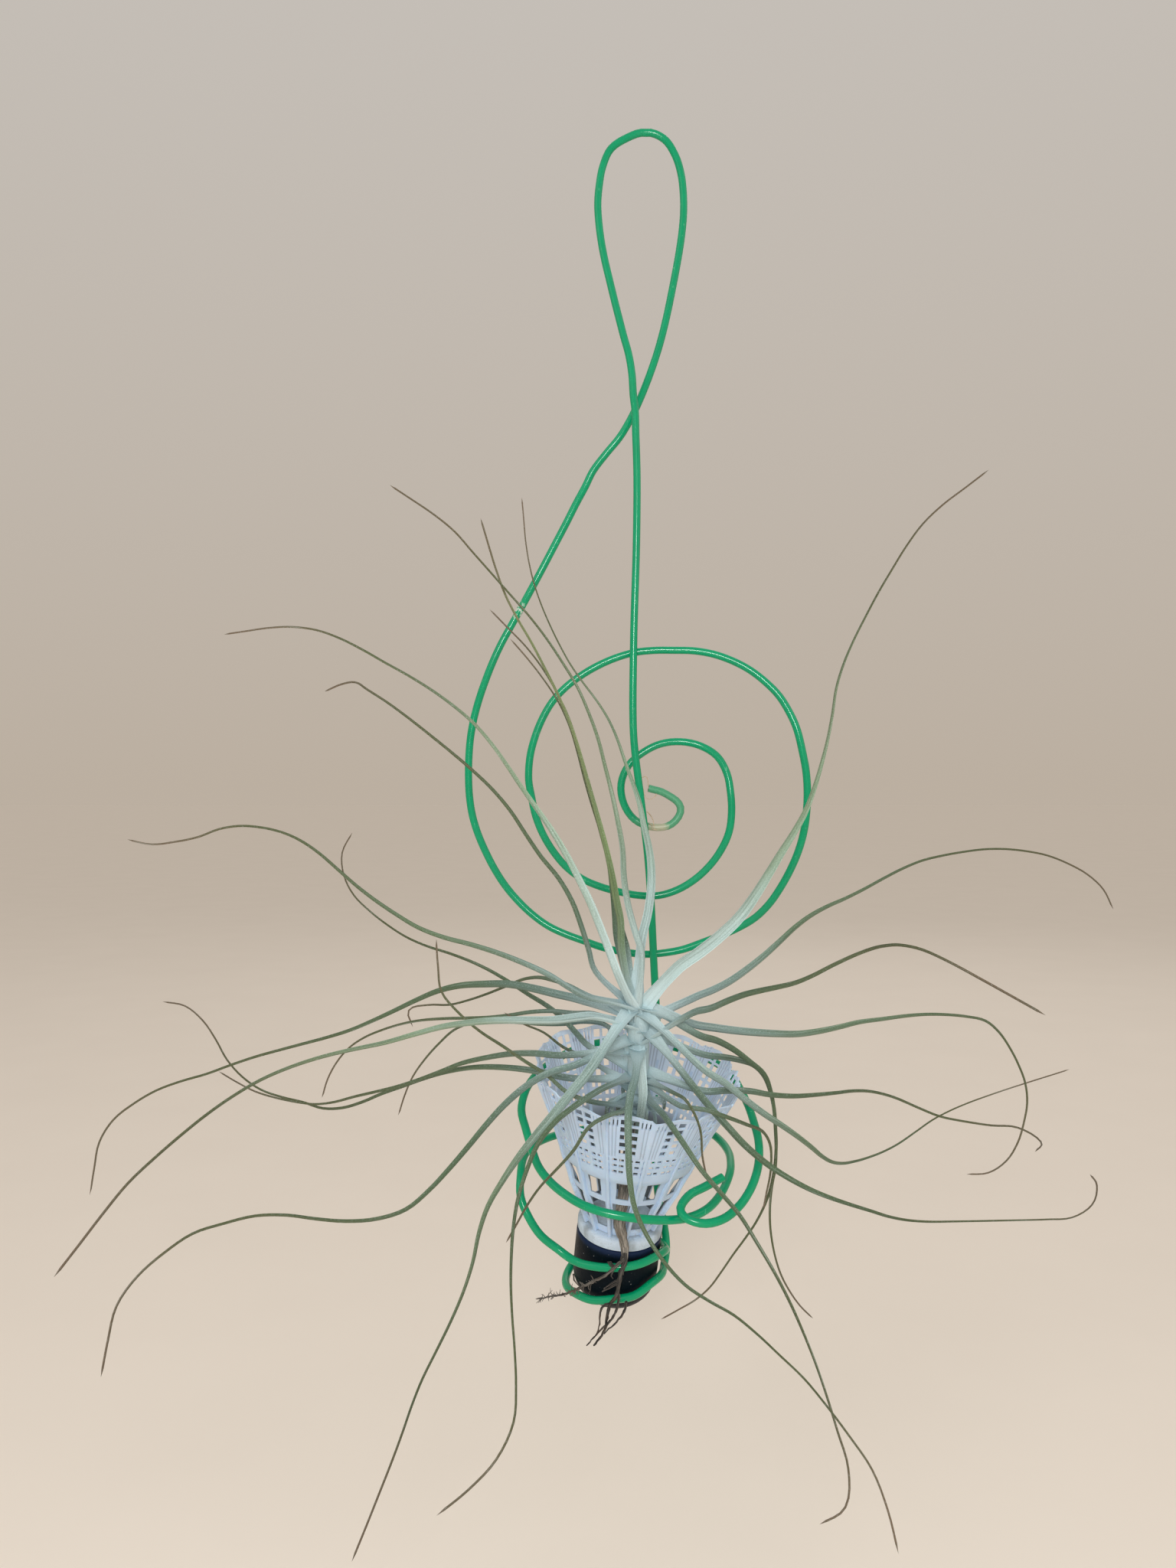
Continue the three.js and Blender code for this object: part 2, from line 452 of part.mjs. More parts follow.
  { name: 'left_e', seat: 15, width: 2.1, route: [[-15, -314.3, 62], [-29.1, -313.7, 62],
    [-43, -312.8, 58], [-51.1, -313.7, 56], [-61.9, -315.7, 54], [-71.8, -319.3, 51],
    [-82.1, -323, 48], [-90, -325.1, 46], [-98.9, -327.1, 43], [-103.3, -328.3, 41],
    [-109.4, -329.7, 38], [-116.2, -329.8, 34], [-133.2, -325.9, 27], [-146, -319, 21]] },
  { name: 'left_f', seat: 7, width: 2.1, route: [[-15, -324, 60], [-33.1, -320, 60],
    [-42.1, -318.4, 56], [-54.1, -317.5, 50], [-62.1, -317.9, 46], [-72.4, -320, 40],
    [-84.6, -324.2, 34], [-90.8, -326.4, 32], [-99.1, -329.8, 29], [-106.6, -331.5, 26],
    [-113.6, -330.8, 23], [-118.7, -328.8, 21], [-127.3, -326.8, 19], [-134.7, -323.3, 17],
    [-142, -316.5, 16], [-145.3, -311, 15], [-150.1, -303.1, 14], [-157.2, -296.8, 14],
    [-165.1, -295.3, 14]] },
  { name: 'left_g', seat: 18, width: 2.1, route: [[-19.7, -316.9, 74], [-28.3, -317.5, 76],
    [-35.7, -320.6, 78], [-41.2, -323.9, 79], [-47.7, -329.3, 82], [-53.2, -335, 85],
    [-59.5, -342.5, 89], [-65.6, -349.6, 93], [-72.2, -356.9, 97], [-79.6, -363.7, 101],
    [-84, -366.5, 102], [-91.3, -368.7, 104], [-98.3, -369.3, 105], [-106.4, -369.7, 107],
    [-113.7, -368.7, 108], [-120.8, -367.7, 110], [-132.8, -367.7, 112], [-151.4, -372.7, 115],
    [-157.3, -375.2, 116], [-179.2, -395.3, 124], [-186, -423, 132]] },
  { name: 'left_h', seat: 26, width: 3, route: [[-11.9, -311.1, 76], [-21.1, -320.6, 80],
    [-23.5, -323.7, 81], [-29.6, -330.9, 82], [-33.7, -336.1, 82], [-38.6, -341.6, 82],
    [-44.6, -349.2, 82], [-50.5, -358, 81], [-55.1, -366.2, 81], [-57.4, -373.1, 81],
    [-59.3, -381.6, 82], [-60.8, -388, 83], [-64.4, -397.2, 85], [-68.4, -406.3, 88],
    [-77.5, -424.7, 95], [-85.5, -446.8, 112], [-91.1, -461.2, 120], [-100.8, -485.7, 132]] },
  { name: 'left_i', seat: 10, width: 1.8, route: [[-14.4, -324.3, 78], [-27.4, -332.6, 92],
    [-32.8, -337.4, 96], [-36.7, -342.4, 99], [-40.2, -349.7, 103], [-42.4, -356.2, 107],
    [-44.3, -362.5, 110], [-46.3, -376.2, 118], [-46.5, -381.5, 122], [-46.7, -390.5, 128],
    [-46.5, -397.2, 132], [-45.9, -407.3, 137], [-45, -421.5, 144], [-46.1, -439.3, 153],
    [-54.2, -454.3, 158], [-72, -470, 163]] },
  { name: 'left_j', seat: 12, width: 1.4, route: [[-16.1, -300.5, 48], [-26.8, -298.9, 41],
    [-33.1, -298.3, 38], [-41.1, -298.7, 35], [-51.3, -300.2, 32], [-73.1, -301, 25],
    [-80.7, -301.9, 22], [-87.9, -303.8, 19], [-94.2, -306.1, 17], [-101.1, -310.1, 14],
    [-108.1, -319.1, 10], [-110.9, -328, 7]] },
  { name: 'left_k', seat: 4, width: 1.2, route: [[-14, -317, 51], [-27, -312, 45], [-35, -306, 42],
    [-42, -303, 39], [-49, -299, 36]] },
  { name: 'left_l', seat: 2, width: 1.6, route: [[-14, -330, 67], [-25.2, -327.3, 72],
    [-31.1, -322.5, 73], [-35.3, -319.2, 73], [-40.1, -316.3, 74], [-44.9, -313.1, 74],
    [-49.4, -310, 75], [-53.4, -307.4, 75], [-58.2, -304.2, 76], [-63.2, -299.9, 76],
    [-66.8, -295.7, 77], [-70.3, -291.2, 78], [-71, -288.5, 79], [-71.2, -282.6, 80],
    [-72, -274, 81]] },
  { name: 'left_m', seat: 9, width: 1.2, route: [[-15, -303, 39], [-33, -303, 33], [-51, -302, 28],
    [-63, -303, 24], [-72, -310, 20], [-81, -322, 17], [-85, -334, 14]] },
  { name: 'left_n', seat: 20, width: 1.2, route: [[-20, -294, 56], [-32, -288, 45], [-41, -287, 34],
    [-54, -292, 25], [-67, -296, 19], [-80, -297, 15], [-83, -301, 14], [-80, -304, 14]] },
];

// Where a leaf leaves the stem, and the way it points there
function leafSeat(seat) {
  const angle = seat * goldenAngle;
  const outward = new THREE.Vector3(Math.sin(angle), -Math.cos(angle), 0).applyQuaternion(stemTurn);
  const foot = stemFoot.clone().addScaledVector(stemUp, (stemLength * (seat - 0.5)) / leafCount);
  foot.addScaledVector(outward, stemRadius + seatGap);
  return { foot, outward };
}

// A four-sided cone bent along its route: its corners become the channel in the upper face, the
// right edge, the keel below and the left edge.
function leafBlade({ seat, width, route }) {
  const { foot, outward } = leafSeat(seat);
  const rise = foot.clone().addScaledVector(outward, 2.5).addScaledVector(stemUp, 1);
  const curve = smoothCurve([foot, rise, ...route.map(seen)]);
  const length = curve.getLength();
  const steps = Math.round(length / leafStep);
  const blade = new THREE.ConeGeometry(1, 1, 4, steps);
  const corners = blade.attributes.position;
  const frames = [];
  let tangent = curve.getTangentAt(0);
  let normal = stemUp.clone();
  for (let step = 0; step <= steps; step += 1) {
    const next = curve.getTangentAt(step / steps);
    normal.applyQuaternion(new THREE.Quaternion().setFromUnitVectors(tangent, next));
    normal.addScaledVector(next, -normal.dot(next)).normalize();
    const point = curve.getPointAt(step / steps);
    frames.push({ point, normal: normal.clone(), across: next.clone().cross(normal) });
    tangent = next;
  }
  for (let index = 0; index < corners.count; index += 1) {
    const along = corners.getY(index) + 0.5;
    const { point, normal: up, across } = frames[Math.round(along * steps)];
    const reach = Math.max(1 - along, 1e-9);
    const side = Math.round(corners.getX(index) / reach);
    const face = Math.round(corners.getZ(index) / reach);
    const neck = THREE.MathUtils.smoothstep(along * length, 0, neckLength);
    const spread = 1 - THREE.MathUtils.smoothstep(along, bladeFull, bladeThin);
    const full = leafTip + (width - leafTip) * spread;
    const bladeWidth = THREE.MathUtils.lerp(leafNeck, full, neck);
    const thickness = bladeThickness + (leafThickness - bladeThickness) * (1 - along);
    const corner = point.clone();
    if (along < 1) {
      const lift = side === 0 ? (face - 1) * thickness / 2 : leafFold * bladeWidth;
      corner.addScaledVector(across, (side * bladeWidth) / 2).addScaledVector(up, lift);
    }
    corners.setXYZ(index, corner.x, corner.y, corner.z);
  }
  return sealed(blade);
}

for (const leaf of leaves) {
  addPiece(model, `leaf_${leaf.name}`, leafBlade(leaf), silveryLeaf);
}

export default model;
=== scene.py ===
from math import cos, degrees, exp, pi, radians, sin
from random import Random

import bmesh
import bpy
from bmesh import ops
from mathutils import Matrix, Vector
from mathutils.geometry import interpolate_bezier, intersect_line_line


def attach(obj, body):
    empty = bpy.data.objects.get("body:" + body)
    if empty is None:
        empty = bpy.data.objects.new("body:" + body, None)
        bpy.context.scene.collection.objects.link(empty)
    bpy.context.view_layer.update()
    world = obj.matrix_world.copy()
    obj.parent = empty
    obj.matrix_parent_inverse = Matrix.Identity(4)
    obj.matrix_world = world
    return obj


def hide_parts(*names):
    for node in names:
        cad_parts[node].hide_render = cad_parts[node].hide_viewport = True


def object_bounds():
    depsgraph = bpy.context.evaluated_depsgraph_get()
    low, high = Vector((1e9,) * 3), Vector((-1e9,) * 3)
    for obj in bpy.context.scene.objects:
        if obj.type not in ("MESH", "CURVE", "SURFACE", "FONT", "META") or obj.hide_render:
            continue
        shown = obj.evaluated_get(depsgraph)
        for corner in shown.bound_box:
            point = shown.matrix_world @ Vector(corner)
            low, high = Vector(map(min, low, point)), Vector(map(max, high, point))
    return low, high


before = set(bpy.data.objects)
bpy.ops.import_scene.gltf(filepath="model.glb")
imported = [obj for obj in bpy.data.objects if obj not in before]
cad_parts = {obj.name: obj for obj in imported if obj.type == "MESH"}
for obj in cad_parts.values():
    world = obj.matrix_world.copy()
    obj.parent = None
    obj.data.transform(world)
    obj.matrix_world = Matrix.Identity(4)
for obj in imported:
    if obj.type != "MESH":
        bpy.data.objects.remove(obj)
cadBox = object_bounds()
print("frame loaded")

mm = 0.001
front = Vector((0, -1, 0))
underside = 0.02  # added to aside on the lower face of a sweep, in metres

# A place in the camera's picture is a column, a row and how far it stands out from a back plane, in mm.
view = {
    "eye": (-20.1, -392.0, -216.9), "backPlane": 8.0, "pixelsDeep": 1538.0,
    "imageHeight": 2048, "imageMiddle": (768, 1024), "sensor": 36.0, "clipStart": 0.01,
}


def addThing(name, data):
    thing = bpy.data.objects.new(name, data)
    bpy.context.collection.objects.link(thing)
    return thing


def addMesh(name, mesh, material):
    data = bpy.data.meshes.new(name)
    mesh.to_mesh(data)
    mesh.free()
    data.materials.append(material)
    return addThing(name, data)


cameraData = bpy.data.cameras.new("camera")
cameraData.sensor_width = view["sensor"]
cameraData.lens = view["sensor"] * view["pixelsDeep"] / view["imageHeight"]
cameraData.clip_start = view["clipStart"]
camera = addThing("camera", cameraData)
camera.location = Vector(view["eye"]) * mm
camera.rotation_euler = (radians(90), 0, 0)
bpy.context.scene.camera = camera


def sightPoint(column, row, out):
    eyeX, eyeY, eyeZ = view["eye"]
    middleColumn, middleRow = view["imageMiddle"]
    away = view["backPlane"] - out
    size = (away - eyeY) / view["pixelsDeep"]  # of one pixel there
    return Vector((eyeX + (column - middleColumn) * size, away, eyeZ - (row - middleRow) * size)) * mm


def sightLine(route):
    return [sightPoint(*place) for place in route]


def tint(red, green, blue):  # a colour as it looks on screen, 0 to 255
    shares = [value / 255 for value in (red, green, blue)]
    linear = [share / 12.92 if share < 0.04 else ((share + 0.055) / 1.055) ** 2.4 for share in shares]
    return (*linear, 1.0)


class Field:  # a value that varies over a surface, for use in plain sums
    def __init__(self, tree, socket):
        self.tree = tree
        self.socket = socket

    def joined(self, operation, first, second):
        return self.tree.node("Math", {"operation": operation}, {0: first, 1: second})

    def __add__(self, other):
        return self.joined("ADD", self, other)

    __radd__ = __add__

    def __sub__(self, other):
        return self.joined("SUBTRACT", self, other)

    def __rsub__(self, other):
        return self.joined("SUBTRACT", other, self)

    def __mul__(self, other):
        return self.joined("MULTIPLY", self, other)

    __rmul__ = __mul__


class Tree:  # makes nodes with their settings and links
    def __init__(self, tree):
        self.tree = tree

    def node(self, kind, settings=None, inputs=None, output=0):
        made = self.tree.nodes.new("ShaderNode" + kind)
        for setting, value in (settings or {}).items():
            setattr(made, setting, value)
        for socket, value in (inputs or {}).items():
            if isinstance(value, Field):
                self.tree.links.new(value.socket, made.inputs[socket])
            else:
                made.inputs[socket].default_value = value
        return Field(self, made.outputs[output])

    def mix(self, share, first, second):  # a colour between two others
        return self.node("Mix", {"data_type": "RGBA"}, {0: share, 6: first, 7: second}, 2)


class Look(Tree):  # one material, whose even values go straight to its shader
    def __init__(self, name, **even):
        self.material = bpy.data.materials.new(name)
        self.material.use_nodes = True
        super().__init__(self.material.node_tree)
        self.shader = self.tree.nodes["Principled BSDF"]
        for socket, value in even.items():
            self.shader.inputs[socket.replace("_", " ")].default_value = value
        self.place = self.node("TexCoord", output="Object")

    def attribute(self, name):
        return self.node("Attribute", {"attribute_name": name}, output="Fac")

    def step(self, value, low, high):  # 0 at low, 1 at high
        ends = {"Value": value, "From Min": low, "From Max": high}
        return self.node("MapRange", {"interpolation_type": "SMOOTHSTEP"}, ends)

    def grain(self, size, place=None, detail=2.0, rough=0.5):  # soft noise, size in mm
        inputs = {"Vector": place or self.place, "Scale": 1000 / size, "Detail": detail, "Roughness": rough}
        return self.node("TexNoise", {}, inputs)

    def cells(self, perMetre):  # 0 in the middle of each of many small cells
        return self.node("TexVoronoi", {"feature": "F1"}, {"Vector": self.place, "Scale": perMetre})

    def stretched(self, scale):
        return self.node("VectorMath", {"operation": "MULTIPLY"}, {0: self.place, 1: scale})

    def combined(self, x, y, z):
        return self.node("CombineXYZ", {}, {0: x, 1: y, 2: z})

    def distance(self, point):
        return self.node("VectorMath", {"operation": "DISTANCE"}, {0: self.place, 1: point}, "Value")

    def over(self, share, *values):  # lays a colour over those before it
        self.colour = self.mix(share, self.colour, tint(*values))

    def finish(self, roughness=None, height=None, strength=0.0, depth=0.0):  # depth in mm
        self.tree.links.new(self.colour.socket, self.shader.inputs["Base Color"])
        if roughness:
            self.tree.links.new(roughness.socket, self.shader.inputs["Roughness"])
        if height:
            bump = self.node("Bump", {}, {"Height": height, "Strength": strength, "Distance": depth * mm})
            self.tree.links.new(bump.socket, self.shader.inputs["Normal"])
        return self.material


wireMarks = {"crust": (859, 1082, 9), "rubbed": (676, 797, 7)}  # places in the picture


def wireLook():  # glossy green coat, filmed over at its curled inner end
    look = Look("wire_coat", Specular_IOR_Level=0.36)
    reach = look.attribute("reach")
    cloud = look.grain(9.0)
    fine = look.grain(1.1, detail=4.0)
    look.colour = look.mix(cloud, tint(0, 140, 94), tint(0, 159, 109))
    film = look.step(reach + (fine - 0.5) * 0.016, 0.036, 0.026)
    look.over(film * 0.42, 120, 160, 132)
    fromCrust = look.distance(sightPoint(*wireMarks["crust"]))
    crust = look.step(fromCrust + (look.grain(1.6, detail=4.0) - 0.5) * 0.003, 0.0044, 0.0022)
    look.over(crust * 0.75, 190, 178, 156)
    fromRubbed = look.distance(sightPoint(*wireMarks["rubbed"]))
    rubbed = look.step(fromRubbed, 0.0045, 0.0015) * look.step(fine, 0.50, 0.58)
    look.over(rubbed * 0.8, 205, 214, 206)
    scuffs = look.step(look.grain(0.9, look.stretched((1, 1, 0.25)), 5.0), 0.66, 0.74)
    look.over(scuffs * 0.35, 120, 200, 160)
    roughness = 0.12 + fine * 0.12 + film * 0.16 + rubbed * 0.3 + scuffs * 0.2
    height = look.grain(9.0, detail=1.0) + (film * 0.3 + crust) * fine * 0.8
    return look.finish(roughness, height, 0.2, 0.2)


def strandLook():  # dried clear glue
    look = Look("dried_glue", Roughness=0.25)
    look.colour = look.mix(look.grain(1.2), tint(168, 134, 104), tint(226, 208, 184))
    return look.finish(None, look.grain(0.6), 0.3, 0.1)


def steelLook():
    look = Look("cut_steel", Metallic=1.0)
    fine = look.grain(0.5, detail=4.0)
    look.colour = look.mix(fine, tint(120, 118, 112), tint(176, 176, 172))
    return look.finish(0.35 + fine * 0.2)


def nylonLook():  # white moulded nylon, scuffed and a little grey towards its foot; painted light lightens its inner faces, painted shade darkens them low inside the cup, and painted shade darkens its fine upright grooves
    look = Look("nylon", Specular_IOR_Level=0.5, Subsurface_Weight=0.08, Subsurface_Scale=0.002)
    down, inside = map(look.attribute, ("down", "inside"))
    paintedDeepShade = inside * look.step(down, 0.019, 0.028)
    cloud = look.grain(7.0, detail=3.0)
    fine = look.grain(1.0, detail=5.0)
    look.colour = look.mix(cloud, tint(178, 203, 232), tint(196, 217, 240))
    grime = look.step(cloud + down * 8.0, 0.72, 1.1) * look.step(fine, 0.45, 0.66)
    look.over(grime * 0.55, 150, 150, 146)
    # painted light: the inner faces are lightened as if more light fell into the cup
    look.over(inside * 0.4, 226, 240, 252)
    # painted shade: the inner faces low inside the cup are darkened
    look.over(paintedDeepShade * 0.88, 60, 66, 66)
    # painted shade: the fine upright grooves are darkened
    lines = look.step(look.attribute("groove"), 0.35, 0.95)
    look.over(lines * 0.45, 108, 124, 148)
    scratch = look.step(look.grain(0.6, look.stretched((1, 1, 0.15)), 4.0), 0.63, 0.72)
    look.over(scratch * 0.35, 176, 182, 192)
    return look.finish(0.38 + fine * 0.2 + grime * 0.2, fine + scratch * 0.6, 0.3, 0.15)


def foamLook():  # matt white foam with old dirt, and pores darkened with painted shade
    look = Look("foam", Specular_IOR_Level=0.25)
    cloud = look.grain(6.0, detail=4.0)
    cells = look.cells(1600.0)
    look.colour = look.mix(look.step(cloud, 0.42, 0.72), tint(196, 211, 226), tint(156, 166, 174))
    # painted shade: each small pore is darkened towards its middle
    look.over(look.step(cells, 0.30, 0.12) * 0.3, 140, 142, 140)
    return look.finish(0.8 + cloud * 0.15, cells + cloud * 0.8, 0.5, 0.25)


def skinLook():  # dark skin over the cork, bluish along its upper edge
    look = Look("dark_skin", Specular_IOR_Level=0.08)
    down = look.attribute("down")
    cloud = look.grain(5.0, detail=3.0)
    fine = look.grain(0.7, detail=5.0)
    look.colour = look.mix(cloud, tint(2, 10, 18), tint(8, 20, 28))
    brim = look.step(down + (fine - 0.5) * 0.0012, 0.0560, 0.0540)
    look.over(brim * 0.6, 34, 50, 84)
    dust = look.step(fine, 0.62, 0.72)
    look.over(dust * 0.10, 90, 98, 104)
    specks = look.step(look.cells(520.0), 0.10, 0.05)
    look.over(specks * 0.6, 168, 170, 172)
    roughness = 0.34 + cloud * 0.2 + dust * 0.3
    return look.finish(roughness, fine * 0.6 + look.grain(1.8, detail=4.0), 0.4, 0.2)


def leafLook():  # green under silvery scales, which are thickest at the foot of the leaf
    look = Look("leaf", Specular_IOR_Level=0.35)
    along, reach, aside, tone = map(look.attribute, ("along", "reach", "aside", "tone"))
    cloud = look.grain(6.0, look.combined(reach * 0.35, aside, tone * 2.0), 3.0)
    scales = look.grain(0.24, look.combined(reach * 0.55, aside, tone * 3.0), 3.0, 0.7)
    lines = look.grain(0.40, look.combined(reach * 0.02, aside, tone * 2.0), 2.0)
    greening = look.step(reach + (cloud - 0.5) * 0.03 + tone * 0.040 - 0.0175, 0.004, 0.066)
    paintedUnderShade = look.step(aside, 0.014, 0.016)
    pale = look.step(tone, 0.32, 0.02)
    fresh = look.step(tone, 0.94, 1.0)
    near = look.mix(pale, tint(142, 171, 176), tint(208, 234, 238))
    far = look.mix(pale, tint(84, 107, 76), tint(152, 177, 148))
    far = look.mix(fresh, far, tint(130, 154, 102))
    look.colour = look.mix(greening, near, far)
    # painted shade: the lower face of each leaf is darker green
    look.over(paintedUnderShade * 0.35, 84, 104, 78)
    olive = look.mix(fresh, tint(82, 88, 54), tint(122, 134, 88))
    drying = look.step(along + (cloud - 0.5) * 0.2 + tone * 0.1, 0.36, 0.80)
    look.colour = look.mix(drying, look.colour, olive)
    look.over(look.step(along + (cloud - 0.5) * 0.12, 0.74, 0.97) * 0.85, 112, 92, 76)
    look.over(look.step(lines, 0.45, 0.66) * 0.38, 66, 86, 64)
    look.over(look.step(lines, 0.42, 0.30) * 0.25, 196, 212, 206)
    thick = 1.0 - greening * 0.62
    look.over(look.step(scales, 0.52, 0.66) * thick * 0.50, 216, 230, 232)
    look.over(look.step(scales, 0.46, 0.34) * 0.22, 74, 92, 78)
    foot = look.step(reach + (cloud - 0.5) * 0.008, 0.026, 0.004)
    look.over(foot * 0.62, 212, 233, 240)
    roughness = 0.46 + scales * 0.25 + thick * 0.08
    return look.finish(roughness, scales + lines * 0.9, 0.5, 0.12)


def deadLook():  # dry, fibrous, grey brown; the roots are darker than the stem
    look = Look("dead_stem", Specular_IOR_Level=0.2)
    reach, aside = map(look.attribute, ("reach", "aside"))
    lines = look.grain(0.5, look.combined(reach * 0.12, aside, reach * 0.02), 4.0, 0.7)
    cloud = look.grain(4.0, detail=3.0)
    fibre = look.step(lines, 0.35, 0.68)
    dark = look.mix(fibre, tint(24, 25, 26), tint(82, 78, 74))
    light = look.mix(fibre, tint(84, 82, 76), tint(168, 160, 150))
    look.colour = look.mix(look.attribute("tone"), dark, light)
    look.over(look.step(cloud, 0.5, 0.75) * 0.4, 110, 84, 62)
    return look.finish(0.78 + lines * 0.2, lines, 0.8, 0.4)


looks = {
    "wire": wireLook(), "strand": strandLook(), "steel": steelLook(), "nylon": nylonLook(),
    "foam": foamLook(), "skin": skinLook(), "leaf": leafLook(), "dead": deadLook(),
}
print("materials made")


def throughPoints(points, step):  # an even run on a smooth line, with the step in mm
    knots = [Vector(point) for point in points]
    run = [knots[0]]
    for number in range(len(knots) - 1):
        first, second = knots[number], knots[number + 1]
        before, after = knots[max(number - 1, 0)], knots[min(number + 2, len(knots) - 1)]
        third = (second - first).length / 3
        leave = first + (second - before).normalized() * third
        arrive = second - (after - first).normalized() * third
        count = max(2, round((second - first).length / (step * mm)) + 1)
        run += interpolate_bezier(first, leave, arrive, second, count)[1:]
    return run


def alongRun(run, up):  # each point with the sweep's right and up directions and its distance along
    stations = []
    reach = 0.0
    heading = (run[1] - run[0]).normalized()
    for number, point in enumerate(run):
        ahead = (run[min(number + 1, len(run) - 1)] - run[max(number - 1, 0)]).normalized()
        up = heading.rotation_difference(ahead) @ up
        up = (up - ahead * up.dot(ahead)).normalized()
        if number:
            reach += (point - run[number - 1]).length
        stations.append((point, ahead.cross(up), up, reach))
        heading = ahead
    return stations


def newLayer(mesh, name):
    return mesh.verts.layers.float.new(name)


def ringEdges(ring):
    return list({edge for vert in ring for edge in vert.link_edges if edge.other_vert(vert) in ring})


def sweep(mesh, run, up, section, sides, tipped=False, tone=0.5):
    # carries a ring along the run; section(share, reach) gives the ring's (right, up) offsets
    stations = alongRun(run, up)
    floats = mesh.verts.layers.float
    names = ("along", "reach", "aside", "tone")
    layers = [floats.get(name) or newLayer(mesh, name) for name in names]
    turn = mesh.verts.layers.int.get("turn") or mesh.verts.layers.int.new("turn")
    total = stations[-1][3]
    ring = ops.create_circle(mesh, segments=sides, radius=1.0, cap_ends=False)["verts"]
    for number, vert in enumerate(ring):
        vert[turn] = number
    first = None
    for point, right, upward, reach in stations:
        if first:
            grown = ops.extrude_edge_only(mesh, edges=ringEdges(ring))["geom"]
            ring = [item for item in grown if isinstance(item, bmesh.types.BMVert)]
        else:
            first = ring
        offsets = section(reach / total, reach)
        for vert in ring:
            x, y = offsets[vert[turn]]
            vert.co = point + right * x + upward * y
            aside = x if y > offsets[0][1] - 1e-9 else x + underside
            for layer, value in zip(layers, (reach / total, reach, aside, tone)):
                vert[layer] = value
    ops.holes_fill(mesh, edges=ringEdges(first), sides=0)
    if tipped:
        ops.pointmerge(mesh, verts=ring, merge_co=stations[-1][0])
    else:
        ops.holes_fill(mesh, edges=ringEdges(ring), sides=0)


def corners(sides):  # the corners of an even ring
    angles = [2 * pi * number / sides for number in range(sides)]
    return [(cos(angle), sin(angle)) for angle in angles]


def roundBar(mesh, run, radiusAt, sides, wobble=0.0, seed=0, up=front, tone=0.5):
    chance = Random(seed)
    bumps = [1 + wobble * chance.uniform(-1, 1) for _ in range(sides)]

    def section(share, reach):
        radius = radiusAt(share, reach)
        return [(radius * bump * x, radius * bump * y) for bump, (x, y) in zip(bumps, corners(sides))]

    sweep(mesh, run, up, section, sides, tone=tone)


def toPiece(name, mesh, material, replaced=(), sharp=40):
    for vert in mesh.verts:  # the smooth shapes stay within the frame's box
        vert.co = [min(max(value, low), high) for value, low, high in zip(vert.co, *cadBox)]
    ops.recalc_face_normals(mesh, faces=mesh.faces)
    for face in mesh.faces:
        face.smooth = True
    for edge in mesh.edges:
        edge.smooth = len(edge.link_faces) < 2 or edge.calc_face_angle(0.0) < radians(sharp)
    piece = addMesh(name, mesh, material)
    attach(piece, "root")
    if replaced:
        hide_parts(*replaced)


def mergedSolid(node):  # a copy of a node's mesh with its loose triangles joined
    mesh = bmesh.new()
    mesh.from_mesh(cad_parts[node].data)
    ops.remove_doubles(mesh, verts=mesh.verts, dist=1e-6)
    return mesh


def endCorners(mesh):  # four edges meet only at the ends of a bar
    return [vert for vert in mesh.verts if len(vert.link_edges) == 4]


def ringsFrom(ring):  # the rings of a bent bar, one after another, as lists of points
    rings = []
    seen = set(ring)
    while ring:
        rings.append([vert.co.copy() for vert in ring])
        ring = list({edge.other_vert(vert) for vert in ring for edge in vert.link_edges} - seen)
        seen.update(ring)
    return rings


def middle(points):
    return sum(points, Vector()) / len(points)


# The coated wire follows the frame's wire, perfectly round, with its steel core at both ends.
wireForm = {
    "radius": 1.25, "sides": 16, "step": 1.5, "innerEnd": (847, 1030, 9), "endRing": 2.6,
    "coreRadius": 0.75, "coreSides": 12, "coreInside": 1.0, "coreOutside": 0.12,
    "runs": (
        "clef_curl", "clef_ring_top", "clef_ring_side", "clef_bow",
        "clef_loop", "clef_stem", "coil_base", "coil_skirt"),
}


def wireCentres(form):  # the middles of the wire's rings, run after run
    centres = [sightPoint(*form["innerEnd"])]
    for name in form["runs"]:
        solid = mergedSolid(name)
        corner = min(endCorners(solid), key=lambda vert: (vert.co - centres[-1]).length)
        near = {other for edge in corner.link_edges for other in edge.verts}
        near |= {other for vert in near for edge in vert.link_edges for other in edge.verts}
        endRing = [vert for vert in near if (vert.co - corner.co).length < form["endRing"] * mm]
        centres = centres[:-1] + [middle(ring) for ring in ringsFrom(endRing)]
        solid.free()
    return centres


def makeWire(form):
    radius = form["radius"] * mm
    run = throughPoints(wireCentres(form), form["step"])
    for point in run:  # the smooth bends stay within the frame's box
        point.z = min(point.z, cadBox[1][2] - radius)
        point.y = min(point.y, cadBox[1][1] - radius)
    mesh = bmesh.new()
    roundBar(mesh, run, lambda share, reach: radius, form["sides"])
    toPiece("coated_wire", mesh, looks["wire"], form["runs"])
    cores = bmesh.new()
    for end, inward in ((run[0], run[1]), (run[-1], run[-2])):
        out = (end - inward).normalized()
        stub = [end - out * form["coreInside"] * mm, end + out * form["coreOutside"] * mm]
        side = out.orthogonal()
        roundBar(cores, stub, lambda share, reach: form["coreRadius"] * mm, form["coreSides"], up=side)
    toPiece("wire_core", cores, looks["steel"])


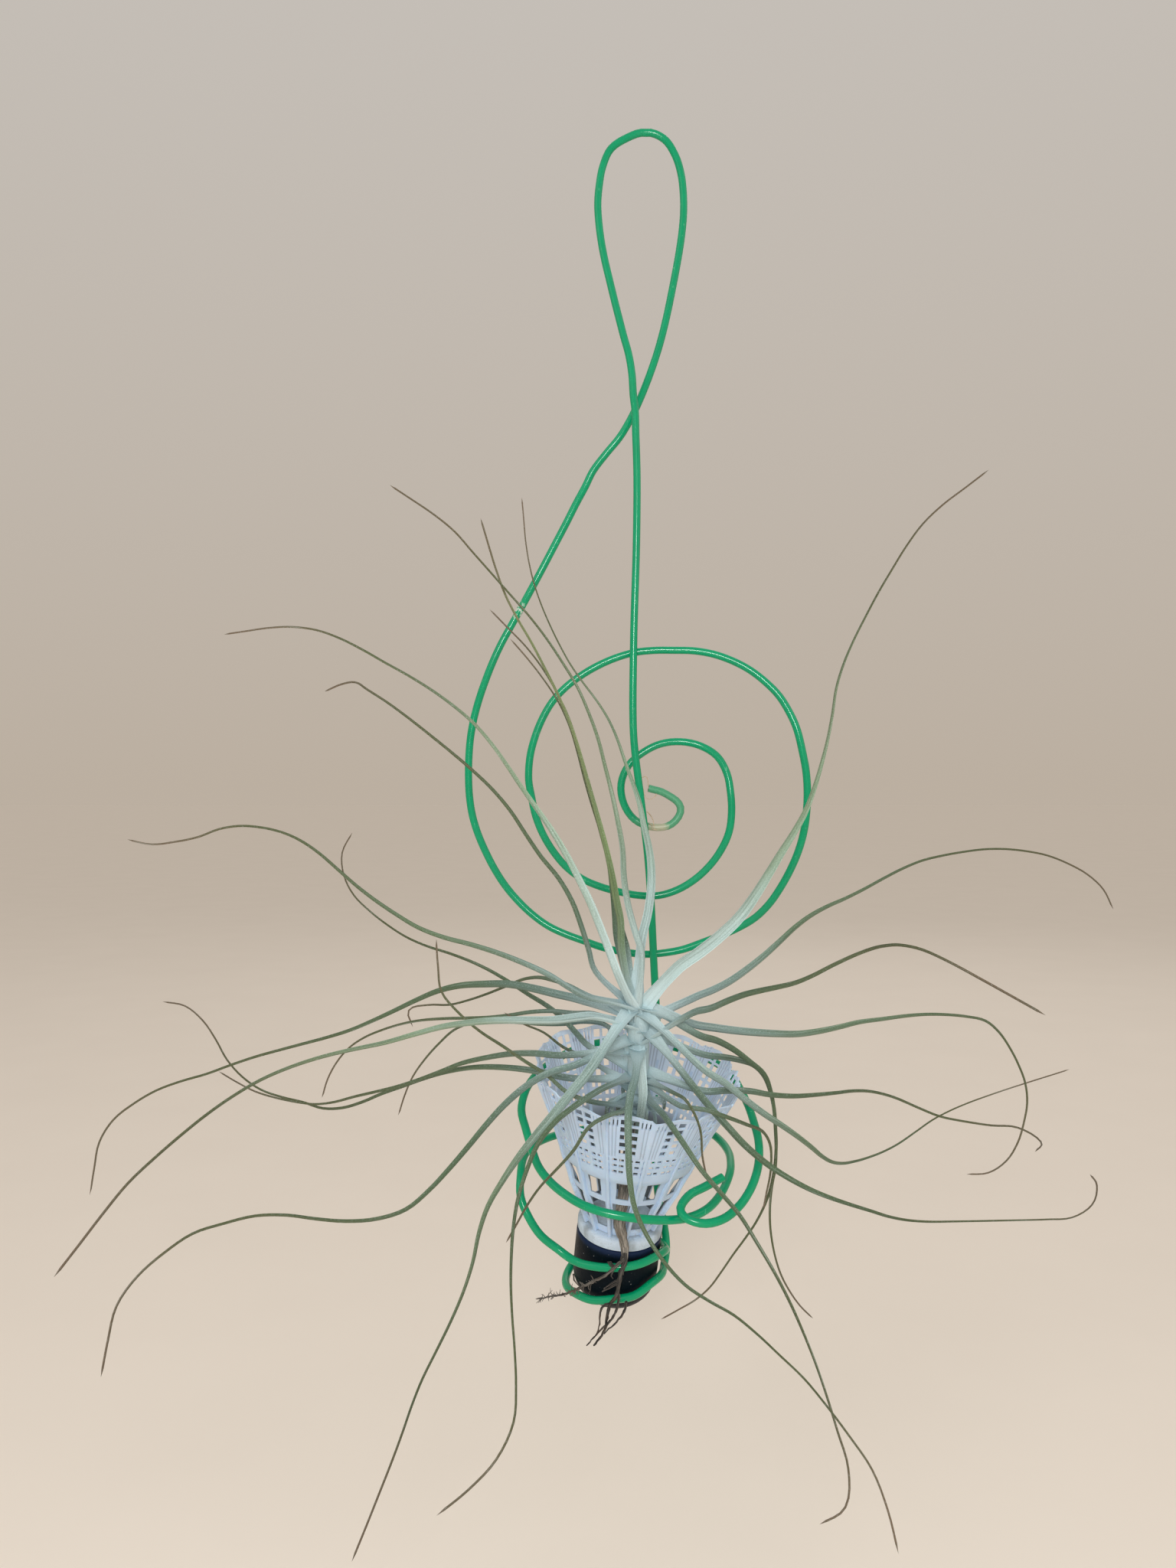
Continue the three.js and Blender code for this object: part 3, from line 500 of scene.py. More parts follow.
# Strands of dried glue between the wire's curled end and its stem, each with its radius and route.
strandForm = {"step": 0.35, "sides": 6, "wobble": 0.2, "thinnest": 0.7, "endsWider": 0.6}
strands = [
    (0.16, [
        (838, 1016, 11.2), (843, 1014, 11.0), (846, 1018, 10.6), (846.5, 1024, 10.0), (848, 1028, 9.4)]),
    (0.14, [
        (840, 1030, 11.2), (843, 1041, 10.6), (849, 1044, 10.0), (855, 1041, 9.6), (858, 1036, 9.4)]),
    (0.18, [
        (845, 1060, 11.4), (849, 1064, 11.0), (851, 1067, 10.6), (853, 1071, 10.2), (854, 1078, 9.8),
        (856, 1083, 9.6)]),
    (0.14, [(848, 1075, 11.2), (851, 1078, 10.6), (853, 1083, 10.0), (858, 1084, 9.9)]),
]


def makeStrands(form):
    mesh = bmesh.new()
    for number, (radius, route) in enumerate(strands):
        def radiusAt(share, reach):
            return radius * mm * (form["thinnest"] + form["endsWider"] * abs(share - 0.5))

        run = throughPoints(sightLine(route), form["step"])
        roundBar(mesh, run, radiusAt, form["sides"], form["wobble"], number)
    toPiece("glue_strands", mesh, looks["strand"])


# The shuttlecock is made upright with its mouth at height 0 and then set in its place.
cup = {"mouth": (-5.3, -37.0, -302.6), "up": (0.094, -0.207, 0.974)}
cupTurn = Vector((0, 0, 1)).rotation_difference(Vector(cup["up"]).normalized())
cupPlace = Matrix.Translation(Vector(cup["mouth"]) * mm) @ cupTurn.to_matrix().to_4x4()

# Depths below the mouth and sizes, in mm. Each unit round the skirt has two columns of windows, then
# small holes, a long slot and a long cell.
skirt = {
    "radius": 32.1, "taper": 0.435, "wall": 0.5, "units": 14, "turn": -5.0,
    "dotTop": 0.45, "dotBottom": 0.85,
    "windowRows": 5, "windowTop": 1.3, "windowPitch": 2.9, "windowSize": 2.3, "windowShrink": 0.12,
    "windowFoot": 15.6, "windowsEnd": 15.7,
    "holeTops": (16.6, 19.0, 21.4), "holeSize": 1.3, "holeShrink": 0.06, "holesEnd": 24.0,
    "slotTop": 27.0, "ringRow": 34.5, "cellTop": 35.5, "slotRows": (27.0, 30.0, 35.5, 39.0, 43.0),
    "closedRows": (24.4, 25.2, 26.2, 33.5, 34.5, 47.0, 48.2, 49.5),
}
grid = {  # widths in mm or in shares, and how fast some change with depth
    "slit": 0.42, "slitNarrows": 0.014, "bar": 0.3, "barWidens": 0.02, "frame": 0.75,
    "holeInner": 0.115, "holeSecond": 0.60, "holeFrame": 0.3, "holeStrip": 0.5, "sideHole": 0.45,
    "slot": 1.95, "slotNarrows": 0.02, "cell": 2.65, "cellNarrows": 0.085, "cellInner": 0.3,
    "panelShares": (0.12, 0.26, 0.4, 0.55, 0.7, 0.85, 1.0),
}
unitColumns = 17
slitColumns = (1, 3, 5, 11, 13, 15)
openColumns = {  # which columns of a unit each kind of opening takes
    "windows": (7, 9), "slits": slitColumns, "dots": slitColumns, "holes": (3, 13, 0, 16), "slots": (7, 8, 9),
}


def skirtRows():  # the depths of the grid's rows, each with what is open below it
    rows = [(0.0, ""), (skirt["dotTop"], "dots"), (skirt["dotBottom"], "")]
    for row in range(skirt["windowRows"]):
        top = skirt["windowTop"] + row * skirt["windowPitch"]
        bottom = top + skirt["windowSize"] - row * skirt["windowShrink"]
        rows += [(top, "windows" if row else "windows slits"), (bottom, "" if row else "slits")]
    rows.append((skirt["windowFoot"], ""))
    for number, top in enumerate(skirt["holeTops"]):
        rows += [(top, "windows holes"), (top + skirt["holeSize"] - number * skirt["holeShrink"], "")]
    rows += [(down, "") for down in skirt["closedRows"]] + [(down, "slots") for down in skirt["slotRows"]]
    return sorted(rows)


def halfColumns(down):  # the edges of the columns to one side of a unit's middle
    half = pi * (skirt["radius"] - skirt["taper"] * down) / skirt["units"]
    if down < skirt["windowsEnd"]:
        rowsDown = (down - skirt["windowTop"]) / skirt["windowPitch"]
        size = skirt["windowSize"] - skirt["windowShrink"] * rowsDown
        slit = grid["slit"] - grid["slitNarrows"] * down
        bar = grid["bar"] + grid["barWidens"] * down
        frameEdge = bar + size + grid["frame"]
        pitch = (half - frameEdge - slit * 0.5) / 3.0
        slits = [frameEdge + count * pitch + width for count in range(3) for width in (0.0, slit)]
        return [bar, bar + size, *slits, half]
    if down < skirt["holesEnd"]:
        size = skirt["holeSize"]
        inner = grid["holeInner"] * half + size
        second = grid["holeSecond"] * half + size / 2
        return [
            inner - size, inner, inner + grid["holeFrame"], inner + grid["holeStrip"],
            second - size, second, second + grid["holeFrame"], half - size * grid["sideHole"], half]
    if down < skirt["ringRow"]:
        edge = grid["slot"] - grid["slotNarrows"] * (down - skirt["slotTop"])
    else:
        edge = grid["cell"] - grid["cellNarrows"] * (down - skirt["cellTop"])
    rest = half - edge
    return [edge * grid["cellInner"], edge] + [edge + rest * share for share in grid["panelShares"]]


# The skirt's pleats, thick rings and wear, in mm, with bearings in degrees from the front to the right.
rings = ((25.5, 1.4, 0.45), (34.5, 1.1, 0.4), (48.6, 1.2, 0.3), (0.2, 0.5, 0.12))  # depth, reach, height
pleat = {"depth": 0.28, "end": 26}
crumple = {"at": -82, "spread": 26, "end": 34, "height": 1.1, "waves": 0.42, "sunk": 0.9}
dip = {"depth": 0.55, "end": 3.0}
tear = {"at": 92, "spread": 30, "end": 2.4, "drop": 0.7, "height": 1.3, "waves": 1.9, "slowWaves": 0.7}
sag = {"at": -80, "spread": 24, "end": 12, "drop": 0.7, "height": 0.8, "waves": 0.9}
lean = {"out": (-0.5, 0.9), "sink": (-0.4, 0.9), "end": 12, "seed": 31}  # of each unit's upper end
groove = {"top": 3.0, "depth": 0.12, "columns": 6}  # fine upright lines


def skirtPoint(bearing, down, lift):
    radius = skirt["radius"] - skirt["taper"] * down + lift
    return Vector((radius * sin(bearing), -radius * cos(bearing), -down)) * mm


def fading(down, end):  # 1 at the mouth, 0 at the end and below
    return max(0.0, 1 - down / end)


def hump(angle, form):
    return exp(-((angle - form["at"]) / form["spread"]) ** 2)


def inDegrees(bearing):
    return (degrees(bearing) + 180) % 360 - 180


def unitWave(bearing):
    return cos(skirt["units"] * (bearing - radians(skirt["turn"])))


def skirtLift(bearing, down):
    lift = -pleat["depth"] * unitWave(bearing) * fading(down, pleat["end"])
    for ringDown, reach, height in rings:
        lift += height if abs(down - ringDown) < reach else 0.0
    angle = inDegrees(bearing)
    share = hump(angle, crumple) * fading(down, crumple["end"])
    return lift + share * (crumple["height"] * sin(angle * crumple["waves"]) - crumple["sunk"])


def rimDrop(bearing, down):  # the mouth's edge dips in each panel, sags on the left, is torn on the right
    angle = inDegrees(bearing)
    drop = dip["depth"] * (1 - unitWave(bearing)) * fading(down, dip["end"])
    ragged = tear["drop"] + tear["height"] * sin(angle * tear["waves"]) * cos(angle * tear["slowWaves"])
    drop += hump(angle, tear) * ragged * fading(down, tear["end"])
    wavy = sag["drop"] + sag["height"] * sin(angle * sag["waves"])
    return drop + hump(angle, sag) * wavy * fading(down, sag["end"])


def hasGroove(down, within):
    nearSide = min(within, unitColumns - within) < groove["columns"]
    return groove["top"] < down < skirt["windowsEnd"] and nearSide and within % 2 == 1


def bendGrid(rows, spot, downLayer, grooveLayer):  # rolls the flat grid into the skirt
    units = skirt["units"]
    chance = Random(lean["seed"])
    leans = [(chance.uniform(*lean["out"]), chance.uniform(*lean["sink"])) for _ in range(units + 1)]
    for vert, (column, row) in spot.items():
        down = rows[row][0]
        sides = halfColumns(down)
        edges = [-edge for edge in reversed(sides)] + sides
        unit, within = divmod(column, unitColumns)
        radius = skirt["radius"] - skirt["taper"] * down
        bearing = radians(skirt["turn"] + 360.0 * unit / units) + edges[within] / radius
        leanOut, sink = leans[unit]
        sunk = down + rimDrop(bearing, down) + sink * fading(down, lean["end"])
        grooved = float(hasGroove(down, within))
        lift = skirtLift(bearing, down) - grooved * groove["depth"] + leanOut * fading(down, lean["end"])
        vert.co = skirtPoint(bearing, sunk, lift)
        vert[downLayer] = sunk * mm
        vert[grooveLayer] = grooved


def outwardness(face):
    return face.normal.dot(face.calc_center_median().xy.to_3d().normalized())


def makeSkirt():
    rows = skirtRows()
    lastRow = len(rows) - 1
    columns = unitColumns * skirt["units"]
    mesh = bmesh.new()
    ops.create_grid(mesh, x_segments=columns, y_segments=lastRow, size=0.5)
    downLayer, insideLayer, grooveLayer = [newLayer(mesh, name) for name in ("down", "inside", "groove")]
    spot = {}
    for vert in mesh.verts:
        spot[vert] = (round((vert.co.x + 0.5) * columns), round((0.5 - vert.co.y) * lastRow))
    openFaces = []
    for face in mesh.faces:
        column = min(spot[vert][0] for vert in face.verts) % unitColumns
        row = min(spot[vert][1] for vert in face.verts)
        if any(column in openColumns[kind] for kind in rows[row][1].split()):
            openFaces.append(face)
    bendGrid(rows, spot, downLayer, grooveLayer)
    ops.delete(mesh, geom=openFaces, context="FACES")
    for items, context in ((mesh.edges, "EDGES"), (mesh.verts, "VERTS")):
        ops.delete(mesh, geom=[item for item in items if not item.link_faces], context=context)
    ops.remove_doubles(mesh, verts=mesh.verts, dist=1e-5)
    ops.recalc_face_normals(mesh, faces=mesh.faces)
    if outwardness(mesh.faces[0]) < 0:
        ops.reverse_faces(mesh, faces=mesh.faces)
    ops.solidify(mesh, geom=mesh.faces[:], thickness=skirt["wall"] * mm)
    mesh.normal_update()
    for face in mesh.faces:
        if outwardness(face) < -0.5:
            for vert in face.verts:
                vert[insideLayer] = 1.0
    ops.transform(mesh, matrix=cupPlace, verts=mesh.verts)
    toPiece("skirt_shell", mesh, looks["nylon"], ["shuttle_skirt"], 30)


# A rib stands out between every two cells and runs down onto the pad.
fin = {
    "width": 1.0, "top": 9.0, "bottom": 49.3, "steps": 14, "depthTop": 0.15, "depthFoot": 1.5,
    "deepens": 1.5, "root": 0.3, "sunk": -0.2, "follows": 0.4, "halfTop": 0.42, "halfWidens": 0.16,
    "shoulder": 0.8, "crest": 0.6,
}


def makeFins():
    mesh = bmesh.new()
    downLayer = newLayer(mesh, "down")
    for number in range(skirt["units"]):
        bearing = radians(skirt["turn"] + 360.0 * (number + 0.5) / skirt["units"])
        run = []
        for step in range(fin["steps"] + 1):
            down = fin["top"] + (fin["bottom"] - fin["top"]) * step / fin["steps"]
            run.append(skirtPoint(bearing, down, fin["sunk"] + skirtLift(bearing, down) * fin["follows"]))

        def section(share, reach):
            grown = min(1.0, share * fin["deepens"])
            depth = (fin["depthTop"] + (fin["depthFoot"] - fin["depthTop"]) * grown) * mm
            half = fin["width"] * mm * (fin["halfTop"] + fin["halfWidens"] * share)
            right = [(half, -fin["root"] * mm), (half, depth * fin["shoulder"]), (half * fin["crest"], depth)]
            return right + [(-x, y) for x, y in reversed(right)]

        sweep(mesh, run, Vector((sin(bearing), -cos(bearing), 0)), section, 6)
    for vert in mesh.verts:
        vert[downLayer] = -vert.co.z
    ops.transform(mesh, matrix=cupPlace, verts=mesh.verts)
    toPiece("skirt_ribs", mesh, looks["nylon"], (), 30)


# The pad and the base are outlines of (radius, depth below the mouth), spun round the cup's axis.
turned = {"steps": 72, "seed": 4}
padForm = {
    "wave": 0.06,
    "outline": [
        (0, 49.8), (6, 49.8), (10.6, 49.8), (11.8, 49.85), (12.6, 50.05), (13.05, 50.45), (13.2, 51.0),
        (13.2, 52.2), (13.1, 53.2), (12.6, 53.3), (0, 53.3)],
}
baseForm = {
    "wave": 0.03, "radius": 13.12, "domeTop": 67.2, "domeHeight": 11.4, "domeSteps": 12,
    "outline": [
        (0, 53.6), (12.4, 53.6), (12.95, 53.7), (13.15, 54.0), (13.2, 54.6), (13.2, 58), (13.2, 62),
        (13.2, 65.5), (13.12, 67)],
}


def makeTurned(name, outline, wave, material, node):
    mesh = bmesh.new()
    downLayer = newLayer(mesh, "down")
    points = [mesh.verts.new(Vector((radius, 0, -down)) * mm) for radius, down in outline]
    edges = [mesh.edges.new(pair) for pair in zip(points, points[1:])]
    ops.spin(mesh, geom=points + edges, axis=(0, 0, 1), angle=2 * pi, steps=turned["steps"], use_merge=True)
    ops.remove_doubles(mesh, verts=mesh.verts, dist=1e-6)
    chance = Random(turned["seed"])
    for vert in mesh.verts:
        vert[downLayer] = -vert.co.z
        vert.co += vert.co.xy.to_3d().normalized() * chance.uniform(-wave, 0) * mm
    ops.transform(mesh, matrix=cupPlace, verts=mesh.verts)
    toPiece(name, mesh, material, [node], 50)


def makePadAndBase():
    makeTurned("foam_pad", padForm["outline"], padForm["wave"], looks["foam"], "base_pad")
    outline = list(baseForm["outline"])
    for step in range(1, baseForm["domeSteps"] + 1):
        angle = pi / 2 * step / baseForm["domeSteps"]
        down = baseForm["domeTop"] + baseForm["domeHeight"] * sin(angle)
        outline.append((baseForm["radius"] * cos(angle), down))
    makeTurned("dark_base", outline, baseForm["wave"], looks["skin"], "shuttle_base")


# The living stem is short and upright in the cup, and the leaves clasp it.
stem = {
    "foot": (-5.6, -44.0, -313.3), "tip": (-5.6, -58.0, -280.7), "radius": 3.2, "sides": 16, "step": 1.6,
    "below": 2, "short": 1, "full": 0.95, "roundFrom": 0.84, "roundBy": 18, "wobble": 0.05, "seed": 2,
    "paleness": 0.3,
}
stemFoot = Vector(stem["foot"]) * mm
stemTip = Vector(stem["tip"]) * mm
stemUp = (stemTip - stemFoot).normalized()
stemLength = (stemTip - stemFoot).length
stemMiddle = stemFoot.lerp(stemTip, 0.5)


def makeStem():
    def radiusAt(share, reach):
        past = max(0.0, share - stem["roundFrom"])
        return stem["radius"] * mm * (stem["full"] - past ** 2 * stem["roundBy"])

    bottom = stemFoot - stemUp * stem["below"] * mm
    top = stemTip - stemUp * stem["short"] * mm
    run = throughPoints([bottom, stemFoot, stemMiddle, top], stem["step"])
    mesh = bmesh.new()
    roundBar(mesh, run, radiusAt, stem["sides"], stem["wobble"], stem["seed"], Vector((1, 0, 0)))
    for vert in mesh.verts:  # as pale all over as the feet of the leaves
        vert[mesh.verts.layers.float["along"]] = 0.0
        vert[mesh.verts.layers.float["reach"]] *= stem["paleness"]
    toPiece("stem_core", mesh, looks["leaf"], ["plant_stem"])


# Short dead feet of shed leaves stand round the bottom of the living stem.
husks = {
    "count": 12, "lengths": (4.0, 8.0), "halfWidth": 1.7, "thick": 0.35, "turns": (20, 340), "sides": 8,
    "step": 0.8, "seed": 8, "starts": (-2.0, 7.0),
    "twists": (-0.5, 0.5), "twistGrows": 3, "narrows": 0.75, "cupped": 0.5, "aging": 0.8, "greening": 0.010,
    "outs": ((1.5, 0.0), (4.0, 0.0), (4.0, 0.6), (3.0, 0.9)),  # in mm and in shares of the length
    "flat": (0.0, 1.2), "rises": ((-2.0, 2.0), (-7.0, -1.0)),
}


def makeHusks(form):
    chance = Random(form["seed"])
    mesh = bmesh.new()
    side = stemUp.orthogonal().normalized()
    other = stemUp.cross(side)
    firstTurn, lastTurn = form["turns"]
    for number in range(form["count"]):
        turn = radians(firstTurn + (lastTurn - firstTurn) * (number + chance.random()) / form["count"])
        outward = side * cos(turn) + other * sin(turn)
        length = chance.uniform(*form["lengths"]) * mm
        start = stemFoot + stemUp * chance.uniform(*form["starts"]) * mm
        outs = [base * mm + length * share for base, share in form["outs"]]
        rises = [chance.uniform(*span) for span in form["rises"]]
        heights = [*form["flat"], *rises]
        knots = [start + outward * out + stemUp * high * mm for out, high in zip(outs, heights)]
        twist = chance.uniform(*form["twists"])

        def section(share, reach):
            half = form["halfWidth"] * mm * (1 - form["narrows"] * share)
            tilt = twist + share * twist * form["twistGrows"]
            ring = []
            for across, high in corners(form["sides"]):
                x = half * across
                y = form["thick"] * mm * high + form["cupped"] * half * abs(across)
                ring.append((x * cos(tilt) - y * sin(tilt), x * sin(tilt) + y * cos(tilt)))
            return ring

        sweep(mesh, throughPoints(knots, form["step"]), stemUp, section, form["sides"])
    for vert in mesh.verts:
        vert[mesh.verts.layers.float["along"]] *= form["aging"]
        vert[mesh.verts.layers.float["reach"]] += form["greening"]
    toPiece("dead_leaf_feet", mesh, looks["leaf"])


# Each leaf is a channelled blade on the route of its solid. Its foot clasps the stem, and beyond
# the sheath it thins to a thread. Lengths in mm.
leafForm = {
    "sides": 12, "step": 2.0, "fold": 0.286, "thick": 0.95, "thinTip": 0.32, "thinning": 0.8,
    "thread": 0.52, "threadFrom": 0.25, "threadOver": 0.45,
    "sheathHalf": 3.0, "sheathThick": 0.5, "sheathLength": 17.0, "wrap": 1.2,
    "footWidth": 0.4, "footGrows": 200, "free": 12.0, "lowest": 3, "low": 6.0, "sunk": 0.1, "stripRise": 2,
    "innerAbove": 10, "innerOver": (0.0, 3.0), "otherTones": (0.35, 0.6), "blunt": 0.8,
}
# the feet of leaves round the stem, and of those at its tip
outerFoot = {"hugs": (2.75, 3.45), "start": -1.8, "follows": 1, "rise": 0.4, "left": 0.0}
innerFoot = {"hugs": (1.5, 2.6), "start": 0.5, "follows": 0, "rise": 0.1, "left": 1.3}
facing = {"leaf_upper_right": (0.1, -1.0, 0.2)}  # leaves that turn their upper side to this direction
strips = {"leaf_front_c": (3.4, 1.3)}  # leaves that stay broad, with their widths at both ends
leafTones = {  # from silvery to green; the others take theirs by chance
    "upright_a": 0.14, "upright_b": 1.0, "upright_c": 0.9, "upright_d": 0.9, "upright_e": 0.05,
    "upper_right": 0.0, "upper_left_a": 0.02, "right_a": 0.22, "right_b": 0.7, "right_c": 0.2,
    "right_d": 0.9, "right_e": 0.8, "right_g": 0.2, "left_a": 0.06, "left_b": 0.5, "left_c": 0.25,
    "left_h": 0.2, "front_a": 0.5, "front_b": 0.7, "front_c": 0.0,
}


def offStem(point):  # how far a point is from the stem
    height = min(max((point - stemFoot).dot(stemUp), 0), stemLength)
    return (point - stemFoot - stemUp * height).length


def leafRings(node):  # the middles and widths of a leaf's rings, from its foot to its tip
    solid = mergedSolid(node)
    foot = min(endCorners(solid), key=lambda vert: (vert.co - stemMiddle).length)
    rings = ringsFrom([edge.other_vert(foot) for edge in foot.link_edges])
    rings = [ring for ring in rings if len(ring) == 4] + [rings[-1]]
    solid.free()
    if node in strips:
        first, last = strips[node]
        count = len(rings)
        widths = [(first + (last - first) * number / (count - 1)) * mm for number in range(count)]
    else:
        widths = [max((one - other).length for one in ring for other in ring) for ring in rings[:-1]]
        widths.append(widths[-1])
    return [middle(ring) for ring in rings], widths


def leafStart(form, node, centres, chance):  # where a leaf leaves the stem, its first free ring, its foot
    clear = [n for n, spot in enumerate(centres) if offStem(spot) > form["free"] * mm and node not in strips]
    free = max(2, clear[0]) if clear else 2
    # a leaf leaves the stem where it points at it
    onStem = intersect_line_line(centres[free], centres[free + 1], stemFoot, stemTip)[1]
    height = (onStem - stemFoot).dot(stemUp)
    foot = outerFoot
    if stemUp.dot(centres[free] - stemTip) > form["innerAbove"] * mm or height > stemLength:
        foot = innerFoot
        height = stemLength + chance.uniform(*form["innerOver"]) * mm
    if not clear:
        height = (centres[1] - stemFoot).dot(stemUp) + form["stripRise"] * mm
    height = max(height, form["lowest"] * mm)
    return stemFoot + stemUp * height - Vector((foot["left"], 0, 0)) * mm, free, foot


def makeLeaf(form, node, number):
    chance = Random(number * 7 + 1)
    centres, widths = leafRings(node)
    axis, free, foot = leafStart(form, node, centres, chance)
    outward = centres[free] - axis
    outward = (outward - stemUp * outward.dot(stemUp)).normalized()
    hug = chance.uniform(*foot["hugs"])
    start = hug * foot["follows"] + foot["start"]
    knots = [
        axis + outward * start * mm - stemUp * form["low"] * mm,
        axis + outward * (hug - form["sunk"]) * mm - stemUp * form["low"] * foot["rise"] * mm,
    ]
    knots += centres[free:]
    widths = widths[free - 2:]
    reachOf = [0.0]
    for one, other in zip(knots, knots[1:]):
        reachOf.append(reachOf[-1] + (other - one).length)
    blade = max(widths[2:5])
    marks = list(zip(reachOf[2:], widths[2:]))
    sides = form["sides"]
    hugged = hug * mm

    def widthAt(reach):
        if reach <= marks[0][0]:
            return blade
        for (left, first), (right, second) in zip(marks, marks[1:]):
            if reach <= right:
                return first + (second - first) * (reach - left) / max(right - left, 1e-9)
        return marks[-1][1]

    def section(share, reach):
        half = widthAt(share * reachOf[-1]) / 2
        thread = min(1.0, max(0.0, (share - form["threadFrom"]) / form["threadOver"]))
        if node not in strips:
            half *= 1 - (1 - form["thread"]) * thread
        clasp = max(0.0, 1 - reach / (form["sheathLength"] * mm))
        clasp = clasp * clasp * (3 - 2 * clasp)
        thinned = (1 - share) ** form["thinning"]
        thick = (form["thinTip"] + (form["thick"] - form["thinTip"]) * thinned) * mm
        thick += (form["sheathThick"] * mm - thick) * clasp
        wide = half + (max(half, form["sheathHalf"] * mm) - half) * clasp
        wide *= min(1.0, form["footWidth"] + reach * form["footGrows"])  # hidden in the stem
        points = []
        for side, (across, high) in enumerate(corners(sides)):
            x = wide * across
            lift = 2 * half * form["fold"] * across ** 2
            wrapped = hugged * (1 - cos(min(form["wrap"], abs(x) / hugged)))
            y = lift + (wrapped - lift) * clasp
            points.append((x, y if side <= sides // 2 else y - thick * abs(high) ** form["blunt"]))
        return points

    mesh = bmesh.new()
    run = throughPoints(knots, form["step"])
    least, spread = form["otherTones"]
    tone = leafTones.get(node.removeprefix("leaf_"), least + spread * chance.random())
    sweep(mesh, run, Vector(facing.get(node, -outward)), section, sides, True, tone)
    toPiece(node + "_blade", mesh, looks["leaf"], [node], 75)


# The old stem runs out of the skirt and down the base, with loose fibres and dry roots.
oldStem = {
    "radius": 1.6, "sides": 12, "step": 1.4, "wobble": 0.16, "seed": 5, "tone": 1.0, "top": 0.3, "drop": 3.7,
    "chance": 12, "swells": ((0.10, 900, 0), (0.07, 2300, 1)), "taperFrom": 0.82, "taper": 2.6,
    "route": [
        (828, 1480, 52), (820, 1515, 52), (816, 1549, 51), (812, 1576, 49), (809, 1596, 50), (812, 1611, 50),
        (816, 1630, 50), (816, 1646, 52)],
}
fibres = {
    "count": 9, "firstStart": 6, "lastStart": 16, "counts": (10, 15), "radius": 0.22, "taper": 1.1,
    "sides": 6, "wobble": 0.2, "step": 1.2, "tone": 0.8, "close": 0.95, "loose": 0.25, "turn": 6.28,
}
rootForm = {
    "sides": 7, "wobble": 0.2, "step": 1.0, "kink": 0.14, "taper": 0.62, "swell": 0.16, "waves": 2600,
    "tone": 0.05, "paler": {1: 0.28},
}
roots = [  # each with its radius and route
    (0.75, [
        (816, 1638, 51.5), (817, 1648, 53), (811, 1662, 53.5), (809, 1676, 53.2), (806, 1690, 52),
        (797, 1704, 50.5), (793, 1722, 49.4), (790, 1738, 48.6), (786, 1744, 48), (780, 1752, 47.6),
        (776, 1758, 47.3)]),
    (0.58, [
        (815, 1644, 52.5), (803, 1655, 53.5), (790, 1666, 53), (778, 1672, 52), (762, 1680, 51),
        (746, 1687, 49), (730, 1692, 47), (715, 1694, 46), (702, 1697, 45)]),
    (0.45, [(808, 1675, 53), (798, 1681, 53), (786, 1687, 52.6)]),
    (0.35, [(806, 1672, 53), (797, 1678, 53.4), (788, 1684, 53.2)]),
    (0.5, [
        (808, 1690, 52), (807, 1705, 51), (803, 1716, 50), (796, 1727, 49), (783, 1739, 48.4),
        (775, 1748, 48), (766, 1758, 47)]),
    (0.4, [(795, 1703, 51), (787, 1706, 50.4), (784, 1718, 49.6), (783, 1730, 49), (780, 1741, 48.4)]),
    (0.45, [(818, 1700, 49), (816, 1712, 48.6), (808, 1724, 48.4), (798, 1733, 48.2), (789, 1742, 48)]),
    (0.5, [(803, 1656, 53), (797, 1648, 53.6), (794, 1648, 53.8), (800, 1656, 53.6)]),
    (0.35, [(800, 1660, 53.4), (798, 1666, 53.8), (801, 1670, 53.8)]),
    (0.3, [(749, 1664, 50), (750, 1672, 50), (754, 1677, 50.4), (758, 1681, 50.6)]),
    (0.3, [(772, 1676, 51.6), (771, 1683, 51.8), (769, 1690, 51.6)]),
    (0.3, [(812, 1640, 52.6), (811, 1650, 53.4), (815, 1658, 53.8), (814, 1666, 53.6)]),
]
rootlets = {  # along the left root
    "root": 1, "count": 60, "rootStep": 0.9, "firstStart": 12, "lengths": (0.9, 2.6), "bend": 0.4,
    "leans": ((-1.0, 0.5), (-0.7, 0.5), (-1.3, 0.9)), "radius": 0.15, "foot": 1.1, "taper": 0.7, "sides": 5,
    "wobble": 0.2, "step": 0.6, "up": (0.3, -1, 0.2), "tone": 0.6,
}


def makeOldStem(chance):
    mesh = bmesh.new()
    top = stemFoot - stemUp * oldStem["top"] * mm
    knots = [top, top - stemUp * oldStem["drop"] * mm] + sightLine(oldStem["route"])
    run = throughPoints(knots, oldStem["step"])
    radius = oldStem["radius"] * mm

    def thickness(share, reach):
        swell = 1
        for height, waves, shift in oldStem["swells"]:
            swell += height * sin(reach * waves + shift)
        return radius * swell * (1.0 - max(0.0, share - oldStem["taperFrom"]) * oldStem["taper"])

    roundBar(mesh, run, thickness, oldStem["sides"], oldStem["wobble"], oldStem["seed"], tone=oldStem["tone"])
    for number in range(fibres["count"]):
        start = chance.randint(fibres["firstStart"], len(run) - fibres["lastStart"])
        length = chance.randint(*fibres["counts"])
        swing = chance.uniform(0, fibres["turn"])
        aside = Vector((cos(swing), sin(swing), 0.1))
        knots = []
        for n in range(start, min(len(run), start + length), 2):
            off = fibres["close"] + fibres["loose"] * abs(n - start) / length
            knots.append(run[n] + aside * radius * off)
        fibre = throughPoints(knots, fibres["step"])
        roundBar(
            mesh, fibre, lambda share, reach: fibres["radius"] * mm * (fibres["taper"] - share),
            fibres["sides"], fibres["wobble"], number, tone=fibres["tone"])
    toPiece("old_stem_fibres", mesh, looks["dead"], ["old_stem"])


def anyWay(chance, most):
    return Vector([chance.uniform(-most, most) for _ in range(3)])


